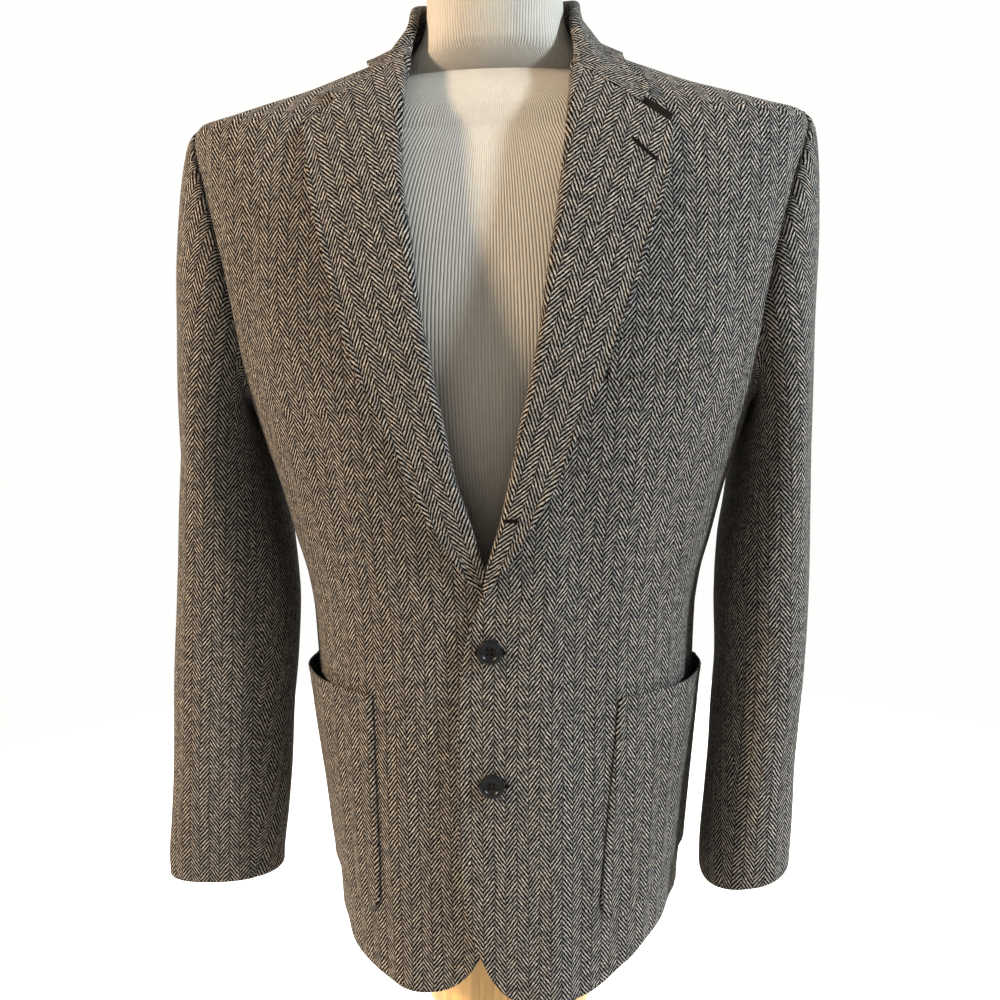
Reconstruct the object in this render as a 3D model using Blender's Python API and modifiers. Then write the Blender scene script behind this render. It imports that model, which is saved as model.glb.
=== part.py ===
"""A two-button tweed jacket, buttoned up on a limbless dress form.

Metres, +Z up.  The origin is the middle of the stand's underside, the front faces -Y and
+X is the wearer's left.  The jacket hangs on one smooth figure: level rings, each a rounded
oval whose sizes come from BODY.  Every panel is a part of that surface between two seams,
given a wall by Solidify.  What lies on a panel is made from the same points, moved out.
Sizes "on its own side" count away from the centre front towards the side that a piece is on.
"""
import math

import bpy
import numpy as np

# ---- driving sizes -------------------------------------------------------------------
WALL = 0.0020            # tweed with its canvas, as one wall
SEAM = 0.0006            # parting of neighbouring pieces at mid wall, a little less at their rims
LAYER = 0.0005           # parting between a panel and what lies on it
HEM = 0.7050             # height of the jacket's hem above the floor
ARMPIT = 1.1780          # lowest point of the armhole
CHEST = 1.2700           # above this only the armhole bounds a panel's side
SHOULDER = 1.4060        # outer end of the shoulder seam
NECK_POINT = 1.4560      # inner end of the shoulder seam
NECK_BACK = 1.4760       # centre back of the neck seam
HEM_ROWS = (0.7065, 0.7120, 0.7220)   # extra rows where the fronts' lower corners turn
SHOULDER_ROWS = (1.3800, 1.3930, 1.4000, SHOULDER, 1.4150)
BUTTON_HEIGHTS = (0.9980, 0.8885)
BUTTON_ACROSS = -0.0035  # the buttons' middles, on the left front's own side
BUTTON_RADIUS = 0.0100
VENT_TOP = 0.9300        # the centre back seam is open below this
VENT_LAP = 0.0350

LEFT, RIGHT = 1, -1
SIDE_NAME = {LEFT: "left", RIGHT: "right"}


class Table:
    """Rows of sizes under named columns, read between the rows on a curve without overshoot."""

    def __init__(self, columns, rows):
        self.columns = columns.split()
        self.rows = np.array(rows, dtype=float)

    def __call__(self, column, at):
        knots = self.rows[:, 0]
        values = self.rows[:, self.columns.index(column)]
        step = np.diff(knots)
        slope = np.diff(values) / step
        tangent = np.empty_like(values)
        tangent[0], tangent[-1] = slope[0], slope[-1]
        product = slope[:-1] * slope[1:]
        total = np.where(product > 0, slope[:-1] + slope[1:], 1.0)
        tangent[1:-1] = np.where(product > 0, 2.0 * product / total, 0.0)
        at = np.clip(np.asarray(at, dtype=float), knots[0], knots[-1])
        row = np.clip(np.searchsorted(knots, at) - 1, 0, len(knots) - 2)
        u = (at - knots[row]) / step[row]
        return ((1 + 2 * u) * (1 - u) ** 2 * values[row] + u * (1 - u) ** 2 * step[row] * tangent[row]
                + u * u * (3 - 2 * u) * values[row + 1] + u * u * (u - 1) * step[row] * tangent[row + 1])


# The figure that the cloth hangs on: half width, reach to the front and to the back, and how
# square the oval is (2 is an ellipse).
BODY = Table("height half_width front back square", (
    (0.660, 0.1540, 0.1440, 0.1540, 2.15),
    (0.705, 0.1560, 0.1430, 0.1520, 2.15),
    (0.750, 0.1575, 0.1415, 0.1480, 2.15),
    (0.800, 0.1620, 0.1395, 0.1430, 2.15),
    (0.870, 0.1660, 0.1360, 0.1350, 2.20),
    (0.950, 0.1670, 0.1320, 0.1230, 2.25),
    (1.000, 0.1680, 0.1305, 0.1140, 2.30),
    (1.030, 0.1715, 0.1305, 0.1100, 2.30),
    (1.070, 0.1810, 0.1310, 0.1080, 2.35),
    (1.110, 0.1900, 0.1325, 0.1100, 2.40),
    (1.150, 0.2020, 0.1340, 0.1150, 2.40),
    (1.200, 0.2160, 0.1340, 0.1220, 2.45),
    (1.250, 0.2280, 0.1300, 0.1290, 2.50),
    (1.300, 0.2380, 0.1200, 0.1310, 2.50),
    (1.350, 0.2465, 0.1050, 0.1260, 2.45),
    (1.385, 0.2500, 0.0905, 0.1160, 2.40),
    (1.398, 0.2500, 0.0835, 0.1110, 2.40),
    (1.406, 0.2460, 0.0790, 0.1080, 2.35),
    (1.412, 0.2260, 0.0750, 0.1055, 2.30),
    (1.420, 0.1985, 0.0690, 0.1020, 2.25),
    (1.430, 0.1620, 0.0610, 0.0970, 2.20),
    (1.441, 0.1310, 0.0510, 0.0910, 2.15),
    (1.450, 0.1070, 0.0420, 0.0860, 2.10),
    (1.456, 0.0920, 0.0370, 0.0820, 2.10),
    (1.466, 0.0740, 0.0310, 0.0750, 2.10),
    (1.478, 0.0640, 0.0270, 0.0670, 2.10),
))

# The armhole on the figure, as angles to the front and to the back of the side, in degrees.
ARMHOLE = Table("height to_front to_back", (
    (1.1780, 0.0, 0.0), (1.1830, 9.0, 10.0), (1.1900, 14.0, 16.0), (1.2100, 21.0, 24.0), (1.2350, 25.0, 28.5),
    (1.2620, 26.5, 31.0), (1.2870, 26.5, 31.5), (1.3110, 25.5, 30.5), (1.3290, 24.0, 29.0),
    (1.3510, 21.5, 26.0), (1.3670, 18.5, 22.0), (1.3860, 12.5, 15.0), (1.3990, 5.5, 6.5),
    (1.4060, 0.0, 0.0),
))
FRONT_SEAM = 10.0        # degrees in front of the side where the side panel ends
BACK_SEAM = 28.0         # degrees behind it

# The edge of each front on its own side, up to where the lapel begins to roll.
EDGE = {
    LEFT: Table("height across", (
        (0.7050, 0.0500), (0.7062, 0.0330), (0.7100, 0.0170), (0.7160, 0.0060), (0.7270, -0.0040),
        (0.7470, -0.0145), (0.7700, -0.0220), (0.8000, -0.0280), (0.8500, -0.0310), (0.9180, -0.0305),
        (0.9530, -0.0285), (0.9900, -0.0245), (1.0220, -0.0165), (1.0460, -0.0065))),
    RIGHT: Table("height across", (
        (0.7050, 0.0640), (0.7062, 0.0540), (0.7120, 0.0400), (0.7220, 0.0280), (0.7420, 0.0150),
        (0.7750, 0.0020), (0.8200, -0.0100), (0.8700, -0.0170), (0.9200, -0.0200), (0.9900, -0.0200),
        (1.0250, -0.0140), (1.0480, -0.0004))),
}
NECK_SEAM = Table("height angle", ((1.4560, 0.0), (1.4620, 16.0), (1.4700, 42.0), (1.4760, 90.0)))

# How far the hem hangs below (-) or above (+) HEM, by the angle round the figure.
HEM_DIP = {
    LEFT: Table("angle dip", (
        (-110, -0.012), (-80, -0.009), (-65, -0.007), (-50, 0.008), (-38, 0.022), (-15, 0.032), (10, 0.028),
        (50, 0.012), (90, 0.005))),
    RIGHT: Table("angle dip", (
        (-110, 0.001), (-75, -0.006), (-62, -0.008), (-40, -0.001), (0, 0.012), (45, 0.008), (90, 0.005))),
}
HEM_FADE = 0.17          # the dip has died out this far above the hem

# The largest folds: soft ridges (+) and troughs (-) that run up the cloth.
FOLD_COLUMNS = "side angle width low high height".split()
FOLDS = (
    (LEFT, -74.0, 5.0, 0.66, 0.99, 0.0022),
    (LEFT, -55.0, 6.0, 0.68, 0.93, -0.0022),
    (LEFT, -20.0, 8.0, 0.66, 1.16, -0.0030),
    (LEFT, 40.0, 9.0, 0.66, 1.05, -0.0050),
    (LEFT, 62.0, 8.0, 0.66, 1.10, 0.0045),
    (RIGHT, -76.0, 6.0, 0.66, 0.98, -0.0025),
    (RIGHT, -62.0, 5.0, 0.66, 0.95, 0.0025),
    (RIGHT, -22.0, 8.0, 0.66, 1.15, -0.0030),
    (RIGHT, 38.0, 8.0, 0.66, 1.08, -0.0045),
    (RIGHT, 60.0, 9.0, 0.66, 1.02, 0.0050),
)

# The left front stands clear of what it laps over: the right front, then the right lapel's end.
LAP = Table("height lift", (
    (0.70, 0.0040), (0.99, 0.0042), (1.03, 0.0052), (1.05, 0.0058), (1.075, 0.0058), (1.11, 0.0024),
    (1.15, 0.0)))
LAP_FULL, LAP_END = 0.034, 0.070      # across, on its own side

# Each lapel by the height of its roll line: how far across that line is, the lapel's outer
# edge, the radius it rolls on and how high its edge stands.
LAPEL = {
    LEFT: Table("height across edge_z edge_x radius stand", (
        (1.0460, -0.0065, 1.0470, -0.0036, 0.0013, 0.0026),
        (1.0710, 0.0006, 1.0690, 0.0135, 0.0022, 0.0054),
        (1.0970, 0.0095, 1.0950, 0.0285, 0.0032, 0.0078),
        (1.1390, 0.0200, 1.1360, 0.0513, 0.0041, 0.0092),
        (1.1750, 0.0275, 1.1780, 0.0683, 0.0045, 0.0090),
        (1.2090, 0.0355, 1.2110, 0.0835, 0.0046, 0.0082),
        (1.2390, 0.0415, 1.2420, 0.0945, 0.0046, 0.0074),
        (1.2790, 0.0470, 1.2790, 0.1080, 0.0045, 0.0066),
        (1.3170, 0.0530, 1.3130, 0.1182, 0.0043, 0.0058),
        (1.3730, 0.0600, 1.3550, 0.1318, 0.0040, 0.0046),
        (1.4310, 0.0640, 1.3865, 0.1345, 0.0038, 0.0040))),
    RIGHT: Table("height across edge_z edge_x radius stand", (
        (1.0480, -0.0004, 1.0465, 0.0130, 0.0012, 0.0024),
        (1.0600, 0.0065, 1.0590, 0.0240, 0.0018, 0.0038),
        (1.0760, 0.0132, 1.0750, 0.0325, 0.0025, 0.0054),
        (1.0970, 0.0200, 1.0960, 0.0450, 0.0032, 0.0072),
        (1.1360, 0.0325, 1.1330, 0.0628, 0.0041, 0.0086),
        (1.1760, 0.0400, 1.1790, 0.0810, 0.0045, 0.0084),
        (1.2150, 0.0470, 1.2210, 0.1010, 0.0046, 0.0078),
        (1.2600, 0.0555, 1.2620, 0.1120, 0.0045, 0.0070),
        (1.3040, 0.0610, 1.2990, 0.1225, 0.0043, 0.0060),
        (1.3500, 0.0675, 1.3380, 0.1325, 0.0040, 0.0048),
        (1.3900, 0.0690, 1.3650, 0.1375, 0.0038, 0.0037),
        (1.4430, 0.0670, 1.3940, 0.1415, 0.0038, 0.0040))),
}
LAPEL_TOP = {LEFT: 1.4310, RIGHT: 1.4430}
LAPEL_START = {LEFT: 1.0460, RIGHT: 1.0480}
ROLL_PARTING = 0.0007    # between a front's edge and the start of the lapel's roll
# Where the gorge seam ends at the notch, and the tip of the collar there (across, height).
NOTCH = {LEFT: (0.1111, 1.4010), RIGHT: (0.1138, 1.4060)}
COLLAR_TIP = {LEFT: (0.1185, 1.4103), RIGHT: (0.1250, 1.4188)}
ROLL_SHARE = 0.30        # share of a lapel's columns spent on its roll
LAPEL_ROWS = (0, 0.03, 0.06, 0.10, 0.15, 0.22, 0.30, 0.39, 0.48, 0.57, 0.66, 0.75, 0.83, 0.89, 0.95, 1)

# The collar's way round the neck: its seam and its outer edge on the figure, its fold in space.
COLLAR_COLUMNS = "way seam_angle seam_height edge_angle edge_height fold_x fold_y fold_z"
COLLAR_BACK = (
    (0.30, -24.0, 1.4570, -30.0, 1.4470, 0.0640, -0.0180, 1.4840),
    (0.50, 0.0, 1.4570, 0.0, 1.4550, 0.0650, 0.0060, 1.4990),
    (0.72, 42.0, 1.4710, 45.0, 1.4550, 0.0540, 0.0460, 1.5110),
    (1.00, 90.0, 1.4770, 90.0, 1.4520, 0.0000, 0.0660, 1.5160))
COLLAR = {
    LEFT: Table(COLLAR_COLUMNS, (
        (0.00, -68.5, 1.4310, -63.5, 1.4103, 0.0620, -0.0610, 1.4420),
        (0.15, -44.0, 1.4540, -48.5, 1.4350, 0.0630, -0.0390, 1.4640)) + COLLAR_BACK),
    RIGHT: Table(COLLAR_COLUMNS, (
        (0.00, -61.0, 1.4430, -56.2, 1.4188, 0.0640, -0.0560, 1.4500),
        (0.15, -42.0, 1.4562, -49.0, 1.4385, 0.0635, -0.0360, 1.4660)) + COLLAR_BACK),
}
COLLAR_FOLD = 0.0030     # radius of the collar's fold
COLLAR_JOIN = 0.30       # along its way, where the collar has left the shape of the lapel's top
COLLAR_WALL = 0.0020
COLLAR_LIFT = 0.0042     # how far the fall's edge stands off the panels
COLLAR_FIRST = 0.012     # share of the collar's width left open at its neck seam
COLLAR_REACH = 1.4750    # below this height the fall may lie on the panels

# The sleeves' lower parts: inner and outer side, front and back of each section.
BICEP = 1.1400
CUFF = {LEFT: (0.7550, 0.7740), RIGHT: (0.7540, 0.7460)}      # heights of its inner and outer side
SLEEVE = {
    LEFT: Table("height inner outer front back", (
        (0.7450, 0.1765, 0.2510, -0.0800, 0.0110),
        (0.7650, 0.1765, 0.2530, -0.0790, 0.0150),
        (0.8200, 0.1810, 0.2555, -0.0790, 0.0290),
        (0.8600, 0.1845, 0.2562, -0.0780, 0.0370),
        (0.9000, 0.1865, 0.2586, -0.0780, 0.0450),
        (0.9500, 0.1900, 0.2618, -0.0770, 0.0550),
        (1.0000, 0.1890, 0.2630, -0.0760, 0.0640),
        (1.0500, 0.1915, 0.2625, -0.0760, 0.0720),
        (1.0900, 0.1980, 0.2615, -0.0760, 0.0790),
        (1.1400, 0.2040, 0.2605, -0.0750, 0.0840))),
    RIGHT: Table("height inner outer front back", (
        (0.7400, 0.2090, 0.3150, -0.0620, -0.0080),
        (0.7600, 0.2083, 0.3148, -0.0640, -0.0030),
        (0.8000, 0.2033, 0.3105, -0.0660, 0.0060),
        (0.8500, 0.1980, 0.3050, -0.0680, 0.0150),
        (0.9000, 0.1950, 0.3015, -0.0690, 0.0250),
        (0.9500, 0.1898, 0.2983, -0.0700, 0.0350),
        (1.0000, 0.1870, 0.2938, -0.0710, 0.0450),
        (1.0500, 0.1910, 0.2884, -0.0720, 0.0560),
        (1.0900, 0.1980, 0.2838, -0.0730, 0.0680),
        (1.1400, 0.2050, 0.2775, -0.0740, 0.0800))),
}
SLEEVE_SQUARE = 2.3
SLEEVE_SEAT = WALL / 2 + 0.0014       # the sleeve's seam stands on the panels round the armhole
SLEEVE_CLEAR = WALL + 0.0007
# Where each piece of a sleeve has its columns: degrees from the outer side round by the front.
SLEEVE_COLUMNS = {
    "topsleeve": (-113.1, -93, -72, -52, -34, -19, -6, 7, 21, 38, 58, 80, 103, 127.1),
    "undersleeve": (128.9, 145, 162, 179, 196, 213, 230, 245.1),
}

# The patch pockets on the figure: top and bottom, inner edge across, outer edge as an angle.
POCKET_TOP, POCKET_BOTTOM = 0.9520, 0.7560
POCKET_INNER = {LEFT: (0.0800, 0.0965), RIGHT: (0.0990, 0.1010)}      # at the bottom and the top
POCKET_OUTER = -2.0
POCKET_ROUND = 0.028
POCKET_WALL = 0.0016
POCKET_SEAT = 0.0009
POCKET_OPEN = 0.0075     # how far the mouth stands open near the side

# A flat band on the left front by its four corners: low inner, low outer, high inner, high outer.
THROAT_TAB = ((0.1040, 1.3985), (0.1305, 1.3835), (0.1120, 1.4095), (0.1355, 1.3945))
WELT = ((0.0850, 1.2040), (0.1630, 1.2120), (0.0890, 1.2325), (0.1700, 1.2395))
WELT_WALL = 0.0014
FELT_WALL = 0.0010

# The dress form inside: how far it keeps below the cloth, and its neck.
FORM_INSET = Table("height inset", (
    (0.735, 0.050), (0.760, 0.036), (0.820, 0.032), (0.950, 0.034), (1.050, 0.026), (1.150, 0.016),
    (1.250, 0.011), (1.330, 0.008), (1.380, 0.0082), (1.404, 0.0082), (1.413, 0.0056), (1.423, 0.0024),
    (1.434, 0.0015), (1.452, 0.0015)))
FORM_FRONT = 0.0070      # and this much more on its chest, where a shirt would be
FORM_AWAY = 0.0050       # and this much more away from the ridge of the shoulders
NECK = Table("height radius_x radius_y centre_y", (
    (1.462, 0.0690, 0.0560, 0.012), (1.472, 0.0610, 0.0530, 0.007), (1.485, 0.0560, 0.0520, 0.004),
    (1.520, 0.0545, 0.0525, 0.001), (1.552, 0.0550, 0.0540, 0.000), (1.560, 0.0525, 0.0515, 0.000)))
FORM_BOTTOM = 0.735
TORSO_SIDES = 28

# Radius and height down the turned post, from the torso's underside to the base.
POST_PROFILE = (
    (0.0600, 0.7347), (0.0700, 0.7280), (0.0800, 0.7120), (0.0850, 0.6900), (0.0862, 0.6550),
    (0.0840, 0.6200), (0.0700, 0.5950), (0.0420, 0.5820), (0.0270, 0.5600), (0.0235, 0.4000),
    (0.0250, 0.1200), (0.0330, 0.0600), (0.0480, 0.0400), (0.0500, 0.0283))
BASE_PROFILE = ((0.1900, 0.0280), (0.1970, 0.0255), (0.2000, 0.0200), (0.2000, 0.0020), (0.1985, 0.0))
TURN_STEPS = 28

COLOURS = {                            # base colour, roughness
    "tweed": ((0.105, 0.095, 0.082), 0.95),
    "felt": ((0.030, 0.024, 0.020), 0.95),
    "button": ((0.020, 0.021, 0.024), 0.38),
    "linen": ((0.520, 0.455, 0.370), 0.90),
    "wood": ((0.640, 0.350, 0.110), 0.45),
}


# ---- the figure ----------------------------------------------------------------------
def body_point(angle, height):
    """A point of the figure: angle -90 is centre front, 0 the side, 90 centre back (radians here)."""
    cos, sin = np.cos(angle), np.sin(angle)
    power = 2.0 / BODY("square", height)
    reach = np.where(sin < 0, BODY("front", height), BODY("back", height))
    across = BODY("half_width", height) * np.sign(cos) * np.abs(cos) ** power
    return np.stack([across, reach * np.sign(sin) * np.abs(sin) ** power, height + 0 * across], axis=-1)


def body_normal(angle, height):
    """Outward direction there: the oval's own level normal, tilted by how the ring grows upwards."""
    step = 0.0015
    point = body_point(angle, height)
    rise = (body_point(angle, height + step) - body_point(angle, height - step)) / (2 * step)
    square = BODY("square", height)
    width = BODY("half_width", height)
    reach = np.where(point[..., 1] < 0, BODY("front", height), BODY("back", height))
    level_x = np.sign(point[..., 0]) * np.abs(point[..., 0] / width) ** (square - 1) / width
    level_y = np.sign(point[..., 1]) * np.abs(point[..., 1] / reach) ** (square - 1) / reach
    length = np.hypot(level_x, level_y)
    level_x, level_y = level_x / length, level_y / length
    tilt = -(level_x * rise[..., 0] + level_y * rise[..., 1])
    normal = np.stack([level_x, level_y, tilt], axis=-1)
    return normal / np.linalg.norm(normal, axis=-1, keepdims=True)


def angle_at(across, height):
    """The angle on the front of the figure whose point lies this far across on its own side."""
    share = np.clip(across / BODY("half_width", height), -1, 1)
    return -np.arccos(np.sign(share) * np.abs(share) ** (BODY("square", height) / 2))


def ring_ratio(points):
    """1 for points on the figure, more outside it and less inside."""
    across, deep, height = points[..., 0], points[..., 1], points[..., 2]
    reach = np.where(deep < 0, BODY("front", height), BODY("back", height))
    square = BODY("square", height)
    total = np.abs(across / BODY("half_width", height)) ** square + np.abs(deep / reach) ** square
    return total ** (1 / square)


def ease_off(points, need):
    """Points nearer the figure than need are moved straight out of it until they keep that much."""
    step = 0.0005
    slope = np.stack([(ring_ratio(points + step * axis) - ring_ratio(points - step * axis)) / (2 * step)
                      for axis in np.eye(3)], axis=-1)
    steep = np.linalg.norm(slope, axis=-1)
    push = np.clip(need - (ring_ratio(points) - 1) / steep, 0, None)
    return points + slope * (push / steep)[..., None]


def smooth(value):
    """0 below 0, 1 above 1, and an even ease between them."""
    value = np.clip(value, 0, 1)
    return value * value * (3 - 2 * value)


def fold_height(side, angle, height):
    """The folds' relief: for each row a bell across it that swells and dies along it."""
    relief = 0.0
    for row in FOLDS:
        fold = dict(zip(FOLD_COLUMNS, row))
        if fold["side"] == side:
            bell = np.exp(-((np.degrees(angle) - fold["angle"]) / fold["width"]) ** 2)
            along = (fold["high"] - height) / (fold["high"] - fold["low"])
            relief = relief + fold["height"] * bell * smooth(along * 1.6)
    return relief


def lap_lift(side, angle, height):
    """How far the left front stands off the figure where it laps over the right one."""
    if side == RIGHT:
        return 0.0 * height
    across = body_point(angle, height)[..., 0]
    return LAP("lift", height) * smooth((LAP_END - across) / (LAP_END - LAP_FULL)) * (np.sin(angle) < 0)


def cloth_point(side, angle, height, lift=0.0):
    """A point on the hanging cloth, with its folds and the hem's dip, moved out by lift."""
    fade = smooth(1 - (height - HEM) / HEM_FADE)
    level = height + fade * HEM_DIP[side]("dip", np.degrees(angle))
    out = lift + fold_height(side, angle, height) + lap_lift(side, angle, height)
    point = body_point(angle, level) + body_normal(angle, level) * np.asarray(out)[..., None]
    return point * np.array([side, 1, 1])


def even_angles(start, end, heights, columns):
    """Angles from start to end on each ring, at even distances along the cloth."""
    share = np.linspace(0, 1, 200)[:, None]
    angles = start + (end - start) * share
    points = body_point(angles, heights + 0 * angles)
    length = np.concatenate([np.zeros((1, len(heights))),
                             np.cumsum(np.linalg.norm(np.diff(points, axis=0), axis=-1), axis=0)])
    length = length / length[-1]
    wanted = np.linspace(0, 1, columns)
    return np.stack([np.interp(wanted, length[:, i], angles[:, i]) for i in range(len(heights))])


def in_metres(angle_step, angle, height):
    """The change of angle that makes this distance along the ring."""
    near = body_point(angle + 0.01, height) - body_point(angle - 0.01, height)
    return angle_step * 0.02 / np.linalg.norm(near, axis=-1)


# ---- making objects ------------------------------------------------------------------
def material(name):
    """One plain Principled material for each finish."""
    if name in bpy.data.materials:
        return bpy.data.materials[name]
    colour, roughness = COLOURS[name]
    made = bpy.data.materials.new(name)
    made.use_nodes = True
    shader = made.node_tree.nodes["Principled BSDF"]
    shader.inputs["Base Color"].default_value = (*colour, 1)
    shader.inputs["Roughness"].default_value = roughness
    shader.inputs["Metallic"].default_value = 0.0
    return made


def new_object(name, points, faces, finish):
    """An object of this name in the jacket's collection, shaded smooth with sharp rims."""
    mesh = bpy.data.meshes.new(name)
    mesh.from_pydata([tuple(p) for p in points], [], faces)
    mesh.validate()
    mesh.materials.append(material(finish))
    made = bpy.data.objects.new(name, mesh)
    bpy.data.collections["tweed_jacket"].objects.link(made)
    mesh.shade_smooth()
    mesh.set_sharp_from_angle(angle=math.radians(50))
    return made


def sheet_faces(rows, columns, flip, wrap=False):
    """The four-sided faces of a grid of points, closed round its columns when wrap is set."""
    faces = []
    for r in range(rows - 1):
        for c in range(columns if wrap else columns - 1):
            d = (c + 1) % columns
            face = (r * columns + c, r * columns + d, (r + 1) * columns + d, (r + 1) * columns + c)
            faces.append(face[::-1] if flip else face)
    return faces


def cloth(name, grid, wall, flip=False, finish="tweed"):
    """A grid of points as an open sheet, with a wall of this thickness centred on it."""
    rows, columns = grid.shape[:2]
    made = new_object(name, grid.reshape(-1, 3), sheet_faces(rows, columns, flip), finish)
    solid = made.modifiers.new("wall", "SOLIDIFY")
    solid.thickness = wall
    solid.offset = 0
    return made


def rows_between(low, high, count, *extra):
    """Even heights from low to high, with some more where an outline turns."""
    return np.unique(np.round(np.concatenate([np.linspace(low, high, count), extra]), 5))


# ---- the body of the jacket -----------------------------------------------------------
def armhole_edge(heights, column):
    """The armhole's angle at these heights, zero above its top, where the shoulder seam runs."""
    edge = np.radians(ARMHOLE(column, heights))
    return np.where((heights <= ARMPIT) | (heights >= SHOULDER), 0.0, edge)


def neck_across(side, heights):
    """Where a front ends beside the collar's seam, above the lapel's top."""
    seam = collar_half(side, np.array([COLLAR_FIRST]))[:7, 0]
    return np.interp(heights, seam[:, 2], np.abs(seam[:, 0])) + COLLAR_WALL / 2 + 4 * SEAM


def front(side):
    """A front: from its edge and roll line to the side seam, the armhole and the shoulder seam."""
    heights = rows_between(HEM, LAPEL_START[side], 11, *HEM_ROWS, *SHOULDER_ROWS, NECK_POINT,
                           *lapel_heights(side))
    rolled = LAPEL[side]("across", heights) + ROLL_PARTING
    across = np.where(heights > LAPEL_START[side] - 0.0001, rolled, EDGE[side]("across", heights))
    across = np.where(heights > LAPEL_TOP[side] - 0.0001, neck_across(side, heights), across)
    start = angle_at(across, heights)
    seam = np.where(heights > CHEST, 0.0, np.radians(FRONT_SEAM))
    end = -np.maximum(seam, armhole_edge(heights, "to_front"))
    end = end - in_metres(SEAM / 2, end, heights)
    angles = even_angles(start, end, heights, 11)
    grid = cloth_point(side, angles, heights[:, None] + 0 * angles)
    cloth("front_" + SIDE_NAME[side], grid, WALL, flip=side == RIGHT)


def side_panel(side):
    """The underarm panel, whose top is the bottom of the armhole."""
    start = -np.radians(FRONT_SEAM) + in_metres(SEAM / 2, -np.radians(FRONT_SEAM), 1.0)
    end = np.radians(BACK_SEAM) - in_metres(SEAM, np.radians(BACK_SEAM), 1.0)
    angles = np.linspace(start, end, 9)
    search = np.linspace(ARMPIT, 1.26, 400)
    front_part = np.interp(-angles, np.radians(ARMHOLE("to_front", search)), search)
    back_part = np.interp(angles, np.radians(ARMHOLE("to_back", search)), search)
    top = np.where(angles < 0, front_part, back_part)
    share = np.linspace(0, 1, 14)[:, None]
    heights = HEM + share * (top - HEM)
    grid = cloth_point(side, angles + 0 * heights, heights)
    cloth("side_" + SIDE_NAME[side], grid, WALL, flip=side == RIGHT)


def back(side):
    """A back: from the side seam, the armhole and the shoulder and neck seams to the centre back."""
    heights = rows_between(HEM, 1.36, 20, VENT_TOP - 0.006, VENT_TOP + 0.006, *SHOULDER_ROWS,
                           1.4280, 1.4420, NECK_POINT)
    heights = np.concatenate([heights, np.linspace(NECK_POINT, NECK_BACK, 5)[1:]])
    seam = np.where(heights > CHEST, 0.0, np.radians(BACK_SEAM))
    start = np.maximum(seam, armhole_edge(heights, "to_back"))
    start = np.where(heights > NECK_POINT, np.radians(NECK_SEAM("angle", heights)), start)
    start = start + in_metres(SEAM / 2, start, heights)
    middle = np.radians(90.0) - in_metres(SEAM / 2, np.radians(90.0), heights)
    lap = in_metres(VENT_LAP, np.radians(90.0), heights) * (heights < VENT_TOP)
    start = np.minimum(start, middle - 0.03)
    angles = even_angles(start, middle + lap, heights, 9)
    height_grid = heights[:, None] + 0 * angles
    over = smooth((np.degrees(angles) - 62) / 10) * smooth((VENT_TOP - height_grid) / 0.05 + 1)
    lift = over * (0.0014 if side == LEFT else -0.0014)
    grid = cloth_point(side, angles, height_grid, lift)
    cloth("back_" + SIDE_NAME[side], grid, WALL, flip=side == RIGHT)


# ---- lapels and collar -----------------------------------------------------------------
def turned_points(side, roll, edge, radius, stand, share):
    """Points across a turned edge: round the roll with its radius, then out to the edge.

    roll and edge are (across, height) on the front; share runs 0 to 1 from where the roll
    leaves the front, through a half turn towards the opening, to the outer edge.
    """
    away = np.stack([edge[0] - roll[0], edge[1] - roll[1]])
    width = np.hypot(*away)
    away = away / width
    turn = np.clip(share / ROLL_SHARE, 0, 1) * np.pi
    out = np.clip((share - ROLL_SHARE) / (1 - ROLL_SHARE), 0, 1)
    along = np.where(share < ROLL_SHARE, -radius * np.sin(turn) - 0.0003, width * out - 0.0003)
    lift = np.where(share < ROLL_SHARE, radius * (1 - np.cos(turn)),
                    2 * radius + (stand - 2 * radius) * smooth(out))
    across = roll[0] + away[0] * along
    height = roll[1] + away[1] * along
    angle = angle_at(across, height)
    return cloth_point(side, angle, height, lift)


def lapel_row(side, height, share, shift=0.0):
    """One row of a lapel; shift moves it up, for the collar that joins its top."""
    table = LAPEL[side]
    roll = (table("across", height), height + shift)
    edge = (table("edge_x", height), table("edge_z", height) + shift)
    return turned_points(side, roll, edge, table("radius", height), table("stand", height), share)


def notch_share(side):
    """How far along a lapel's top row its gorge seam ends."""
    top = LAPEL_TOP[side]
    roll = np.array([LAPEL[side]("across", top), top])
    tip = np.array([LAPEL[side]("edge_x", top), LAPEL[side]("edge_z", top)])
    way = (tip - roll) / np.linalg.norm(tip - roll)
    out = (np.array(NOTCH[side]) - roll) @ way / np.linalg.norm(tip - roll)
    return ROLL_SHARE + (1 - ROLL_SHARE) * out


def lapel_heights(side):
    """The heights of a lapel's rows where they leave the roll line; the front has the same ones."""
    return LAPEL_START[side] + (LAPEL_TOP[side] - LAPEL_START[side]) * np.array(LAPEL_ROWS)


def lapel(side):
    """A lapel: the front's edge turned back over the chest along the roll line."""
    heights = lapel_heights(side)
    share = np.concatenate([np.linspace(0, ROLL_SHARE, 6)[:-1], np.linspace(ROLL_SHARE, 1, 6)])
    grid = np.stack([lapel_row(side, height, share) for height in heights])
    cloth("lapel_" + SIDE_NAME[side], grid, WALL, flip=side == RIGHT)


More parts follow.
